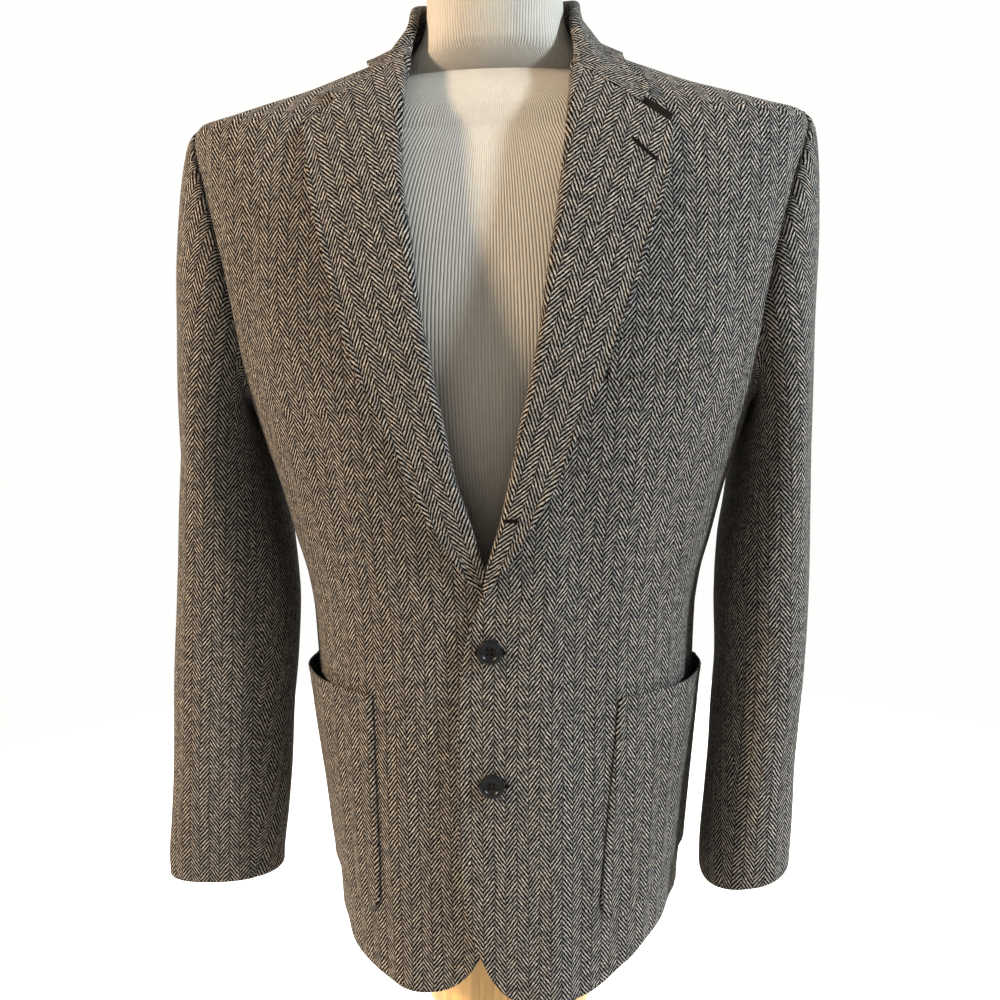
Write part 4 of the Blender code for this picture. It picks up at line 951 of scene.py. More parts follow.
def dart_dip(angle, height):
    """The left front's dart, a fine valley from under the chest welt towards the pocket."""
    across = body_point(angle, height)[..., 0]
    (top, high), (bottom, low) = DART_TOP, DART_BOTTOM
    line = top + (bottom - top) * (high - height) / (high - low)
    inside = smooth((high - height) / 0.02) * smooth((height - low) / 0.05)
    return -0.0007 * np.exp(-((across - line) / 0.0016) ** 2) * inside


def blended(grid, row, column):
    """Values between a grid's own, by fractional rows and columns, blended from the four around."""
    r, c = np.minimum(row.astype(int), grid.shape[0] - 2), np.minimum(column.astype(int), grid.shape[1] - 2)
    fr, fc = (row - r)[..., None], (column - c)[..., None]
    return ((grid[r, c] * (1 - fc) + grid[r, c + 1] * fc) * (1 - fr)
            + (grid[r + 1, c] * (1 - fc) + grid[r + 1, c + 1] * fc) * fr)


def front_place(side, angle, height):
    """The flat place on a front under points of the figure, so that what lies there can match it."""
    heights, _, _, flat = front_surface(side)
    start, end = front_bounds(side, height.ravel())
    steps = np.linspace(0, 1, 61)[:, None]
    turns = start + (end - start) * steps
    length = reaches(body_point(turns, height.ravel() + 0 * turns))
    at = np.clip((angle.ravel() - start) / (end - start), 0, 1) * 60
    cell = np.minimum(at.astype(int), 59)
    order = np.arange(len(cell))
    share = length[cell, order] + (length[cell + 1, order] - length[cell, order]) * (at - cell)
    column = share / length[-1] * (flat.shape[1] - 1)
    row = np.interp(height.ravel(), heights, np.arange(len(heights)))
    return blended(flat, row, column).reshape(*angle.shape, 2)


def side_surface(side):
    """The underarm panel: its rows run from the hem to the bottom of the armhole."""
    start = -np.radians(FRONT_SEAM) + in_metres(SEAM / 2, -np.radians(FRONT_SEAM), 1.0)
    end = np.radians(BACK_SEAM) - in_metres(SEAM, np.radians(BACK_SEAM), 1.0)
    angles = np.linspace(start, end, 28)
    search = np.linspace(ARMPIT, 1.26, 400)
    front_part = np.interp(-angles, np.radians(ARMHOLE("to_front", search)), search)
    back_part = np.interp(angles, np.radians(ARMHOLE("to_back", search)), search)
    top = np.where(angles < 0, front_part, back_part)
    heights = HEM + np.linspace(0, 1, 120)[:, None] * (top - HEM)
    turn = angles + 0 * heights
    level = heights[:, :1].ravel()
    length = row_lengths(turn, level)
    grid = worn_point(side, turn, heights, seam_dip(length, length[:, -1:] - length))
    return grid, weave_map(grid, ((0.1, 0.5), (0.7, 0.5)))


def back_surface(side):
    """A back: from the side seam, the armhole and the shoulder and neck seams to the centre back."""
    heights = rows_between(HEM, 1.36, 120, VENT_TOP - 0.006, VENT_TOP + 0.006, *SHOULDER_ROWS,
                           *np.linspace(1.36, NECK_POINT, 70))
    heights = np.concatenate([heights, np.linspace(NECK_POINT, NECK_BACK, 16)[1:]])
    seam = np.where(heights > CHEST, 0.0, np.radians(BACK_SEAM))
    start = np.maximum(seam, armhole_edge(heights, "to_back"))
    start = np.where(heights > NECK_POINT, np.radians(NECK_SEAM("angle", heights)), start)
    start = start + in_metres(SEAM / 2, start, heights)
    middle = np.radians(90.0) - in_metres(SEAM / 2, np.radians(90.0), heights)
    lap = in_metres(VENT_LAP, np.radians(90.0), heights) * (heights < VENT_TOP)
    start = np.minimum(start, middle - 0.03)
    angles = even_angles(start, middle + lap, heights, BACK_COLUMNS)
    level = heights[:, None] + 0 * angles
    over = smooth((np.degrees(angles) - 62) / 10) * smooth((VENT_TOP - level) / 0.05 + 1)
    length = row_lengths(angles, heights)
    low = smooth((1.39 - heights) / 0.02)[:, None]
    above_vent = smooth((heights - VENT_TOP) / 0.01)[:, None]
    dip = low * seam_dip(length) + above_vent * seam_dip(length[:, -1:] - length)
    grid = worn_point(side, angles, level, dip + over * (0.0014 if side == LEFT else -0.0014))
    hung = plumb_map(grid, VENT_LAP * (heights < VENT_TOP))
    low, high = np.searchsorted(heights, YOKE_ROWS)
    column = round(GRAIN_SHARE * (BACK_COLUMNS - 1))
    across, up = hung[high, column] - hung[low, column]
    places = [(row / (len(heights) - 1), GRAIN_SHARE) for row in (low, high)]
    laid = weave_map(grid, places, math.degrees(math.atan2(across, up)), hung[low, column])
    share = smooth((heights - YOKE_ROWS[0]) / (YOKE_ROWS[1] - YOKE_ROWS[0]))[:, None, None]
    return grid, hung * (1 - share) + laid * share


# ---- lapels, collar and sleeves ----
@cache
def lapel_surface(side):
    """A lapel: rows from the roll line, each round its roll and out to the edge, swollen a little there."""
    heights = np.linspace(LAPEL_START[side], LAPEL_TOP[side], 96)
    share = np.concatenate([np.linspace(0, ROLL_SHARE, 13)[:-1], np.linspace(ROLL_SHARE, 1, 34)])
    grid = np.stack([lapel_row(side, height, share) for height in heights])
    to_edge = row_reaches(grid)
    to_edge = to_edge[:, -1:] - to_edge
    ridge = np.exp(-((to_edge - 0.0022) / 0.0020) ** 2)
    swell = EDGE_SWELL * (ridge - np.exp(-((to_edge - 0.0064) / 0.0012) ** 2))
    grid = grid + normals_of(grid, side == RIGHT) * swell[..., None]
    return grid, weave_map(grid, ((0.30, 0.75), (0.85, 0.95)), LAPEL_LEAN)


def collar_surface():
    """The collar from notch to notch, stand and fall in one."""
    share = np.concatenate([np.linspace(COLLAR_FIRST, 0.30, 10)[:-1], np.linspace(0.30, 0.50, 13)[:-1],
                            np.linspace(0.50, 1.0, 26)])
    ways = np.concatenate([np.linspace(0, 0.30, 40)[:-1], np.linspace(0.30, 1.0, 50)])
    left, right = collar_half(LEFT, share, ways), collar_half(RIGHT, share, ways)
    grid = np.concatenate([right, left[-2::-1]])
    return grid, weave_map(grid, ((0.5, 0.95), (0.5, 0.6)))


def sleeve_surface(side, name):
    """One piece of a sleeve: over the head on a curve for each column, then down to the cuff."""
    around = np.linspace(*SLEEVE_ENDS[name], 66 if name == "topsleeve" else 34)
    begin, normal = armhole_loop(side, around, SLEEVE_SEAT)
    finish = sleeve_section(side, around, BICEP + 0 * begin[:, 0])
    drop = np.linalg.norm(finish - begin, axis=-1, keepdims=True)
    swell = np.clip(0.07 * drop, 0.004, 0.010)
    first = begin + normal * swell * 1.25
    second = finish + np.array([0, 0, 1.0]) * drop * 0.42
    t = (np.linspace(0, 1, 56)[:-1] ** 1.15)[:, None, None]
    head = ((1 - t) ** 3 * begin + 3 * t * (1 - t) ** 2 * first
            + 3 * t * t * (1 - t) * second + t ** 3 * finish)
    head[1:] = ease_off(head[1:], SLEEVE_CLEAR)
    out = unit(first - begin)
    away = finish - begin
    away = unit(away - out * (away * out).sum(axis=-1, keepdims=True))
    turn = np.radians([0, 30, 60])[:, None, None]
    tuck = begin - out * TUCK * (1 - np.sin(turn)) + away * (TUCK_AWAY - TUCK * 0.35 * np.cos(turn))
    head = np.concatenate([tuck, head[1:]])
    inner_cuff, outer_cuff = CUFF[side]
    cuff = inner_cuff + (outer_cuff - inner_cuff) * (1 + np.cos(np.radians(around))) / 2
    share = np.linspace(0, 1, 84)[:, None]
    arm = sleeve_section(side, around + 0 * share, BICEP + (cuff - BICEP) * share)
    grid = np.concatenate([head, arm])
    relief = crease_height(SLEEVE_CREASES[side], around + 0 * grid[..., 0], grid[..., 2], ARM_RADIUS)
    edge = np.radians(np.minimum(around - around[0], around[-1] - around)) * ARM_RADIUS
    relief = relief * smooth((BICEP + 0.20 - grid[..., 2]) / 0.03)
    relief[len(head):] = relief[len(head):] + seam_dip(edge)
    grid = grid + normals_of(grid, side == RIGHT) * relief[..., None]
    middle = 0.47 if name == "topsleeve" else 0.5
    flat = weave_map(grid[len(tuck):], ((0.92, middle), (0.45, middle)), SLEEVE_LEAN)
    on = unit(flat[0] - flat[2])
    steps = np.linalg.norm(np.diff(grid[:len(tuck) + 1], axis=0), axis=-1)
    turned_in = np.cumsum(steps[::-1], axis=0)[::-1]
    return grid, np.concatenate([flat[0] + on * turned_in[..., None], flat])


# ---- pockets and bands ----
def corner_lift(to_side):
    """How far a pocket's rounded corner lifts its bottom edge, by the distance to its nearer side."""
    corner = np.maximum(POCKET_ROUND - to_side, 0) / POCKET_ROUND
    return POCKET_ROUND * (1 - np.sqrt(np.maximum(1 - corner ** 2, 0)))


@cache
def pocket_surface(side):
    """A patch pocket: the front's points moved out, more so at its mouth, with a stitched border."""
    rows, columns = POCKET_GRID
    low, high = POCKET_INNER[side]
    share = (np.linspace(0, 1, rows) ** POCKET_CROWD)[:, None]
    heights = POCKET_BOTTOM + (POCKET_TOP - POCKET_BOTTOM) * share
    start = angle_at(low + (high - low) * share, heights)[:, 0]
    angles = even_angles(start, np.full(rows, np.radians(POCKET_OUTER)), heights[:, 0], columns)
    across = np.linspace(0, 1, columns)[None, :]
    rise = corner_lift(np.minimum(across, 1 - across) * POCKET_WIDTH)
    heights = heights + rise * (1 - share) ** 3
    bulge = smooth((share - 0.35) / 0.65) * np.sin(np.pi * across ** 1.7) ** 1.5
    length = row_lengths(angles, POCKET_BOTTOM + (POCKET_TOP - POCKET_BOTTOM) * share[:, 0])
    edge = np.minimum(np.minimum(length, length[:, -1:] - length), heights - POCKET_BOTTOM - rise)
    hem = POCKET_TOP - heights
    border = (0.00055 * np.exp(-((edge - 0.0035) / 0.0026) ** 2)
              - 0.00055 * np.exp(-((edge - TOP_STITCH) / 0.0011) ** 2)
              - 0.00040 * np.exp(-((hem - POCKET_HEM) / 0.0016) ** 2)
              - POCKET_FELLED * np.exp(-(edge / 0.0022) ** 2)
              + MOUTH_OPEN * smooth(1 - hem / 0.012) * np.sin(np.pi * across) ** 0.4)
    base = WALL / 2 + POCKET_SEAT + POCKET_WALL / 2
    level = heights + 0 * angles
    grid = worn_point(side, angles, level, base + POCKET_OPEN * bulge + border)
    return grid, front_place(side, angles, level)


def band_surface(corners, wall, columns, rows):
    """A four-cornered band on the left front, softly crowned, its weave matched to the front."""
    low_in, low_out, high_in, high_out = (np.array(p) for p in corners)
    across = np.linspace(0, 1, columns)[None, :, None]
    up = np.linspace(0, 1, rows)[:, None, None]
    low = low_in + (low_out - low_in) * across
    high = high_in + (high_out - high_in) * across
    place = low + (high - low) * up
    angle, height = angle_at(place[..., 0], place[..., 1]), place[..., 1]
    crown = 0.0006 * np.sin(np.pi * up[..., 0]) ** 0.6 * np.sin(np.pi * across[..., 0]) ** 0.3
    crown = crown + MOUTH_OPEN * up[..., 0] ** 3 * np.sin(np.pi * across[..., 0]) ** 0.5
    grid = worn_point(LEFT, angle, height, WALL / 2 + LAYER + wall / 2 + crown)
    return grid, front_place(LEFT, angle, height)


# ---- trims laid on the cloth ----
def sample(grid, row, column):
    """Values between a grid's own as blended gives them, for places that may lie past its rim."""
    row = np.clip(row, 0, grid.shape[0] - 1.001)
    return blended(grid, row, np.clip(column, 0, grid.shape[1] - 1.001))


def nearest_cell(grid, across, height, outer=0):
    """The row and column of a grid, from column outer on, whose point is nearest in the front view."""
    off = np.hypot(grid[:, outer:, 0] - across, grid[:, outer:, 2] - height)
    row, column = np.unravel_index(off.argmin(), off.shape)
    return float(row), float(column + outer)


def spacing(grid, cell):
    """How far apart a grid's columns and its rows stand at a cell, in metres."""
    r, c = int(cell[0]), int(cell[1])
    return (np.linalg.norm(grid[r, c + 1] - grid[r, c - 1]) / 2,
            np.linalg.norm(grid[r + 1, c] - grid[r - 1, c]) / 2)


def long_loop(grid, cell, lean, length, width, count=150):
    """A long narrow ring round a cell of a grid: two straight sides and two half turns.

    Its steps are metres, turned into rows and columns by the grid's own spacing there.
    """
    row, column = cell
    wide, tall = spacing(grid, cell)
    turn = np.linspace(0, 2 * np.pi, count, endpoint=False)
    along = np.cos(turn) * width / 2 + np.sign(np.cos(turn)) * (length - width) / 2
    reach = np.cumsum(np.append(0, np.hypot(np.diff(along), np.diff(np.sin(turn) * width / 2))))
    even = np.linspace(0, reach[-1], count)
    along = np.interp(even, reach, along)
    over = np.interp(even, reach, np.sin(turn) * width / 2)
    x = along * math.cos(lean) - over * math.sin(lean)
    z = along * math.sin(lean) + over * math.cos(lean)
    return row + z / tall, column + x / wide


def rings(points, beside, over, radius, sides):
    """A ring of points round each point of a path, between two ways across it."""
    turn = np.linspace(0, 2 * np.pi, sides, endpoint=False)[:, None]
    ring = np.cos(turn) * beside[..., None, :] + np.sin(turn) * over[..., None, :]
    return points[..., None, :] + radius[..., None, None] * ring


def ring_faces(index):
    """The four-sided faces between the neighbours of an index of rings, pointing away from the path."""
    return np.stack([index[..., :-1, :-1], index[..., 1:, :-1], index[..., 1:, 1:], index[..., :-1, 1:]],
                    axis=-1).reshape(-1, 4).tolist()


def tube(points, normals, radius, sides=8, closed=False):
    """A tube along a path: a ring round each point, in the plane of its normal and its side."""
    if closed:
        along = np.roll(points, -1, axis=0) - np.roll(points, 1, axis=0)
    else:
        along = np.gradient(points, axis=0)
    along = unit(along)
    beside = unit(np.cross(along, normals))
    over = np.cross(beside, along)
    grid = rings(points, beside, over, np.broadcast_to(radius, (len(points),)), sides)
    index = np.arange(len(points) * sides).reshape(len(points), sides)
    index = np.concatenate([index, index[:, :1]], axis=1)
    if closed:
        index = np.concatenate([index, index[:1]], axis=0)
    faces = ring_faces(index)
    if not closed:
        faces += [range(sides), range((len(points) - 1) * sides, len(points) * sides)[::-1]]
    return grid.reshape(-1, 3), faces


def stitches(points, normals, length, gap):
    """Separate stitches along a path: short capsules that dive into the cloth at both ends."""
    reach = np.append(0, np.cumsum(np.linalg.norm(np.diff(points, axis=0), axis=-1)))
    count = max(int(reach[-1] / (length + gap)), 1)
    middle = (np.arange(count) + 0.5) * reach[-1] / count
    u = np.linspace(-1, 1, 5)
    place = middle[:, None] + u * length / 2
    at = np.stack([np.interp(place, reach, points[:, k]) for k in range(3)], axis=-1)
    up = np.stack([np.interp(place, reach, normals[:, k]) for k in range(3)], axis=-1)
    at = at + up * (THREAD * (0.9 - 1.5 * u ** 2))[None, :, None]
    along = unit(np.gradient(at, axis=1))
    beside = np.cross(along, up)
    over = np.cross(beside, along)
    ring = rings(at, beside, over, np.broadcast_to(THREAD * np.sqrt(1.06 - u ** 2), at.shape[:2]), 6)
    index = np.arange(count * 30).reshape(count, 5, 6)
    index = np.concatenate([index, index[:, :, :1]], axis=2)
    ends = np.concatenate([index[:, 0, :6], index[:, -1, 5::-1]])
    return ring.reshape(-1, 3), ring_faces(index) + ends.tolist()


def joined(parts):
    """Several meshes of points and faces as one."""
    points, faces, start = [], [], 0
    for some, theirs in parts:
        points.append(some)
        faces += [[i + start for i in face] for face in theirs]
        start += len(some)
    return np.concatenate(points), faces


def buttonhole(grid, cell, lean, length):
    """A worked buttonhole: a wrapped cord round its slit, and a thin roll along the slit."""
    normal, lift = normals_of(grid, False), WALL / 2
    row, column = long_loop(grid, cell, lean, length, HOLE_WIDTH)
    up = sample(normal, row, column)
    wraps = 0.00008 * np.sin(np.arange(len(row)) * 2 * np.pi / 2.5)
    cord = tube(sample(grid, row, column) + up * lift, up, HOLE_CORD + wraps, 8, closed=True)
    share = np.linspace(-0.47, 0.47, 24)
    wide, tall = spacing(grid, cell)
    row = cell[0] + share * length * math.sin(lean) / tall
    column = cell[1] + share * length * math.cos(lean) / wide
    up = sample(normal, row, column)
    slit = tube(sample(grid, row, column) + up * (lift - HOLE_CORD * 0.9), up, HOLE_CORD * 0.9, 6)
    return joined([cord, slit])


def pocket_cell(across, rise):
    """Rows and columns of a pocket's grid by the distance from its inner edge and its bottom.

    The rounded corner lifts the rows near the bottom, so the row is found by repeating
    share = (rise - lift (1 - share)^3) / height until it settles.
    """
    rows, columns = POCKET_GRID
    lift = corner_lift(np.minimum(across, POCKET_WIDTH - across))
    tall = POCKET_TOP - POCKET_BOTTOM
    share = rise / tall
    for _ in range(30):
        share = np.clip((rise - lift * (1 - share) ** 3) / tall, 0, 1)
    return share ** (1 / POCKET_CROWD) * (rows - 1), across / POCKET_WIDTH * (columns - 1)


def pocket_path(inset, drop, count=400):
    """A pocket's border, this far inside its edges: down one side, round the bottom and up again."""
    radius = POCKET_ROUND - inset
    tall = POCKET_TOP - POCKET_BOTTOM - drop
    quarter = np.linspace(0, np.pi / 2, 24)
    x = np.concatenate([[inset, inset], POCKET_ROUND - radius * np.cos(quarter),
                        POCKET_WIDTH - POCKET_ROUND + radius * np.sin(quarter), [POCKET_WIDTH - inset]])
    z = np.concatenate([[tall, POCKET_ROUND + 0.001], POCKET_ROUND - radius * np.sin(quarter),
                        POCKET_ROUND - radius * np.cos(quarter), [tall]])
    reach = np.append(0, np.cumsum(np.hypot(np.diff(x), np.diff(z))))
    even = np.linspace(0, reach[-1], count)
    return np.interp(even, reach, x), np.interp(even, reach, z)


def button_place(height):
    """Where a button sits on the left front: its middle, and the outward, level and upward ways."""
    angle = angle_at(np.array(BUTTON_ACROSS), np.array(height))
    point = cloth_point(LEFT, angle, np.array(height), WALL / 2 + 0.0009)
    out = body_normal(angle, np.array(height))
    level = unit(np.cross([0, 0, 1.0], out))
    return point, out, level, np.cross(out, level)


def button_mesh(height):
    """A turned button: rings of a rounded profile, its face pierced by four deep holes."""
    point, out, level, up = button_place(height)
    radii = np.concatenate([[0.0001], np.linspace(0.0004, 0.0046, 30), np.linspace(0.0049, 0.0098, 26)])
    dish = 0.00225 + 0.0011 * smooth((radii - 0.0052) / 0.0014) - 0.0006 * smooth((radii - 0.0082) / 0.0018)
    ring = -0.00022 * np.exp(-((radii - 0.0088) / 0.00025) ** 2)
    turn = np.linspace(0, 2 * np.pi, BUTTON_SIDES, endpoint=False)
    x, y = radii[:, None] * np.cos(turn), radii[:, None] * np.sin(turn)
    face = (dish + ring)[:, None] + 0 * x
    for hole in HOLE_TURNS:
        off = np.hypot(x - THREAD_HOLE_AWAY * math.cos(hole), y - THREAD_HOLE_AWAY * math.sin(hole))
        face = (face - 0.0016 * smooth((THREAD_HOLE - off) / 0.0002)
                + 0.00012 * np.exp(-((off - 0.0012) / 0.0002) ** 2))
    rim = np.array(BUTTON_RIM)
    x = np.concatenate([x, rim[:, :1] * np.cos(turn)])
    y = np.concatenate([y, rim[:, :1] * np.sin(turn)])
    z = np.concatenate([face, rim[:, 1:] + 0 * turn])
    grid = point + x[..., None] * level + y[..., None] * up + z[..., None] * out
    return grid, capped_faces(*x.shape, flip=True)


def button_thread(height):
    """The threads over a button's face: two bars of three strands between its holes."""
    point, out, level, up = button_place(height)
    parts = []
    for bar in (-1, 1):
        for strand in (-1, 0, 1):
            t = np.linspace(-1, 1, 13)      # from one hole to the other
            x = bar * 0.0017 + strand * 0.00028 + 0 * t
            y = t * 0.0019
            z = 0.00225 + 0.00035 * (1 - np.abs(t) ** 6) - 0.0012 * np.abs(t) ** 8
            path = point + x[:, None] * level + y[:, None] * up + z[:, None] * out
            parts.append(tube(path, np.broadcast_to(out, path.shape), 0.00021, 6))
    return joined(parts)


# ---- the dress form ----
def torso_surface():
    """The torso and neck: the figure's rings drawn in by FORM_INSET, then the neck's ovals."""
    angles = np.linspace(0, 2 * np.pi, 180, endpoint=False) - np.pi / 2
    bottom, top = FORM_INSET.rows[[0, -1], 0]
    heights = np.unique(np.concatenate([np.linspace(bottom, 1.39, 120), np.linspace(1.39, top, 40)]))
    turn, level = angles[None, :] + 0 * heights[:, None], heights[:, None] + 0 * angles[None, :]
    inset = FORM_INSET("inset", level) + FORM_AWAY * smooth(np.abs(np.sin(turn)) / 0.35)
    inset = inset + FORM_FRONT * smooth((-np.sin(turn) - 0.30) / 0.5)
    body = body_point(turn, level) - body_normal(turn, level) * inset[..., None]
    body[..., 2] = np.where(level < FORM_LEVEL, level, body[..., 2])
    high, draw = np.array([(height, 0.0) for height in np.linspace(*NECK_ROWS)] + list(NECK_ROUND)).T
    deep = (NECK("radius_y", high) - draw)[:, None] * np.sin(angles)
    neck = np.stack([(NECK("radius_x", high) - draw)[:, None] * np.cos(angles),
                     NECK("centre_y", high)[:, None] + deep, high[:, None] + 0 * angles], axis=-1)
    return np.concatenate([body, neck])


def turned_surface(profile, sides):
    """A surface turned about the vertical axis from (radius, height) rows on a smooth curve."""
    rows = np.array(profile)
    reach = np.append(0, np.cumsum(np.linalg.norm(np.diff(rows, axis=0), axis=1)))
    fine = np.linspace(0, reach[-1], 160)
    curve = np.stack([np.interp(fine, reach, rows[:, k]) for k in (0, 1)], axis=1)
    for _ in range(6):
        curve[1:-1] = (curve[:-2] + 2 * curve[1:-1] + curve[2:]) / 4
    angle = np.linspace(0, 2 * np.pi, sides, endpoint=False)
    return np.stack([curve[:, :1] * np.cos(angle), curve[:, :1] * np.sin(angle),
                     curve[:, 1:] + 0 * angle], axis=-1)


# ---- finishes ----
class Nodes:
    """The node tree of a material or world under short calls; most add one node and give its result."""

    def __init__(self, owner):
        owner.use_nodes = True
        self.tree = owner.node_tree

    def add(self, kind, sockets=(), **settings):
        """A node of this kind with these settings, its sockets fed by their names or numbers."""
        node = self.tree.nodes.new("ShaderNode" + kind)
        for name, value in settings.items():
            setattr(node, name, value)
        for key, value in dict(sockets).items():
            self.feed(node.inputs[key], value)
        return node

    def feed(self, socket, value):
        """Joins a result to a socket, or sets a number or colour on it."""
        if isinstance(value, bpy.types.NodeSocket):
            self.tree.links.new(value, socket)
        elif socket.type == "RGBA":
            socket.default_value = (*value, 1)
        else:
            socket.default_value = value

    def math(self, operation, *values):
        return self.add("Math", enumerate(values), operation=operation).outputs[0]

    def times(self, first, second):
        return self.math("MULTIPLY", first, second)

    def plus(self, first, second):
        return self.math("ADD", first, second)

    def line(self, value, gain, start):
        """The value times gain, plus start."""
        return self.math("MULTIPLY_ADD", value, gain, start)

    def centred(self, value):
        return self.math("SUBTRACT", value, 0.5)

    def hump(self, value):
        """0 at 0 and 1, 1 halfway."""
        return self.times(self.times(value, self.math("SUBTRACT", 1.0, value)), 4.0)

    def ease(self, value, low, high):
        """0 at low, 1 at high, eased between."""
        sockets = {"Value": value, "From Min": low, "From Max": high}
        return self.add("MapRange", sockets, interpolation_type="SMOOTHSTEP").outputs["Result"]

    def noise(self, place, scale, detail=2.0, rough=0.5):
        sockets = {"Vector": place, "Scale": scale, "Detail": detail, "Roughness": rough}
        return self.add("TexNoise", sockets).outputs["Fac"]

    def colours(self, share, first, second, blend="MIX"):
        sockets = {0: share, 6: first, 7: second}
        return self.add("Mix", sockets, data_type="RGBA", blend_type=blend).outputs[2]

    def grey(self, value):
        return self.add("CombineColor", enumerate((value, value, value))).outputs[0]

    def stretch(self, place, scale):
        return self.add("Mapping", {"Vector": place, "Scale": scale}).outputs[0]

    def place(self):
        return self.add("TexCoord").outputs["Object"]

    def flat(self):
        """The flat pattern's map: the vector, and its two numbers in metres."""
        vector = self.add("UVMap", uv_map="flat").outputs[0]
        across, up, _ = self.add("SeparateXYZ", {0: vector}).outputs
        return vector, across, up


class Finish(Nodes):
    """A material of this name with one shader, which is given its bump and its finish last."""

    def __init__(self, name):
        super().__init__(bpy.data.materials.new(name))
        self.tree.nodes.clear()
        end = self.add("OutputMaterial")
        self.shader = self.add("BsdfPrincipled")
        self.feed(end.inputs[0], self.shader.outputs[0])

    def bump(self, height, distance):
        node = self.add("Bump", {"Distance": distance, "Height": height})
        self.feed(self.shader.inputs["Normal"], node.outputs[0])

    def finish(self, colour, roughness, **fixed):
        self.feed(self.shader.inputs["Base Color"], colour)
        self.feed(self.shader.inputs["Roughness"], roughness)
        for name, value in fixed.items():
            self.feed(self.shader.inputs[name.replace("_", " ")], value)


def toned(colour, share):
    """A colour, lighter or darker by this share."""
    return tuple(c * share for c in colour)


def herringbone(n, cloth):
    """How light the herringbone is at a place of the flat pattern, 0 to 1.

    Columns run up the cloth.  In each, light lines climb to one side, in the next to the other,
    and each column starts half a line off its neighbour, so the lines break where they meet.
    A line climbs in as many small steps as the column has threads.
    """
    flat, across, up = n.flat()
    wave = n.plus(n.times(n.centred(n.noise(flat, 38.0, 2.0)), 0.9),
                  n.times(n.centred(n.noise(flat, 240.0, 2.0)), 0.42))
    sway = n.times(n.centred(n.noise(flat, 300.0, 2.0)), cloth.column_width * 0.07)
    column = n.math("DIVIDE", n.plus(across, sway), cloth.column_width)
    number = n.math("FLOOR", column)
    share = n.math("SUBTRACT", column, number)
    odd = n.math("FLOORED_MODULO", number, 2.0)
    way = n.line(odd, -2.0, 1.0)
    thread = n.math("DIVIDE", n.math("FLOOR", n.times(share, cloth.threads)), cloth.threads)
    step = n.line(n.math("SUBTRACT", share, thread), 0.6, thread)
    climb = n.times(n.times(step, way), cloth.lines_climbed)
    rise = n.plus(n.math("DIVIDE", up, cloth.line_pitch), wave)
    phase = n.line(odd, 0.5, n.math("SUBTRACT", rise, climb))
    off = n.math("ABSOLUTE", n.math("SUBTRACT", n.math("FRACT", phase), 0.5))
    return flat, up, share, off


def tweed(cloth):
    """The jacket's cloth: light lines over dark ones, yarns painted darker at their edges (painted shade),
    flecks, slow shifts of tone and nap.
    """
    n = Finish("tweed_cloth")
    flat, up, share, off = herringbone(n, cloth)
    hair = n.noise(flat, 1150.0, 3.0, 0.7)
    lump = n.noise(flat, 520.0, 2.0, 0.6)
    fray = n.line(n.centred(hair), 0.55, n.line(n.centred(lump), 0.40, off))
    half = cloth.light_share / 2
    light = n.ease(fray, half + 0.055, half - 0.055)
    edge = n.math("MINIMUM", share, n.math("SUBTRACT", 1.0, share))
    light = n.times(light, n.line(n.ease(edge, 0.0, 0.09), 0.6, 0.4))
    patch = n.noise(flat, 300.0, 3.0, 0.65)
    light = n.times(light, n.line(n.ease(patch, 0.30, 0.66), 0.55, 0.45))
    weft = n.hump(n.math("FRACT", n.math("DIVIDE", up, cloth.thread_pitch)))
    warp = n.hump(n.math("FRACT", n.times(share, cloth.threads)))
    yarn = n.times(n.plus(warp, weft), 0.5)
    pale = n.colours(n.ease(n.noise(flat, 130.0, 2.0), 0.42, 0.60), cloth.light_yarn, cloth.grey_yarn)
    dark = n.colours(n.ease(n.noise(flat, 210.0, 2.0), 0.45, 0.65), cloth.dark_yarn, cloth.brown_yarn)
    colour = n.colours(light, dark, pale)
    fleck = n.ease(n.noise(n.stretch(flat, (1.0, 0.6, 1.0)), 240.0, 1.0), 0.70, 0.76)
    colour = n.colours(n.times(fleck, 0.35), colour, cloth.fleck)
    slow = n.noise(n.place(), 8.0, 2.0)
    shade = n.line(n.centred(slow), 0.22, 1.0)
    # Painted shade: each warp and weft thread is darker towards its edges, where it dips between its
    # neighbours.
    shade = n.times(shade, n.line(yarn, 0.35, 0.80))
    shade = n.times(shade, n.line(n.ease(hair, 0.25, 0.75), 0.7, 0.65))
    colour = n.colours(1.0, colour, n.grey(shade), "MULTIPLY")
    height = n.line(light, 0.55, n.times(yarn, 0.25))
    n.bump(n.line(hair, 0.45, height), cloth.relief)
    n.finish(colour, n.line(light, -0.05, 0.95), Sheen_Weight=0.01, Sheen_Roughness=0.5,
             Sheen_Tint=(0.75, 0.70, 0.62), Specular_IOR_Level=0.05)


def felt(trim):
    """Pressed wool: no weave, a matted surface of two close browns."""
    n = Finish("matted_felt")
    place = n.place()
    matted = n.noise(place, 900.0, 4.0, 0.7)
    colour = n.colours(n.noise(place, 240.0, 3.0), toned(trim.felt, 0.6), trim.felt)
    n.bump(matted, 0.0004)
    n.finish(colour, 0.95, Sheen_Weight=0.04, Specular_IOR_Level=0.1)


def thread(name, shade):
    """Twisted thread: fine slanting ridges across the run of the stitches, painted darker where they sink
    (painted shade).
    """
    n = Finish(name)
    place = n.place()
    twist = n.noise(n.stretch(place, (1.0, 1.0, 2.4)), 2600.0, 2.0)
    # Painted shade: the thread is half as light in the low parts of its twist, the same noise as its bump.
    colour = n.colours(twist, toned(shade, 0.5), shade)
    n.bump(twist, 0.0002)
    n.finish(colour, 0.85, Specular_IOR_Level=0.12)


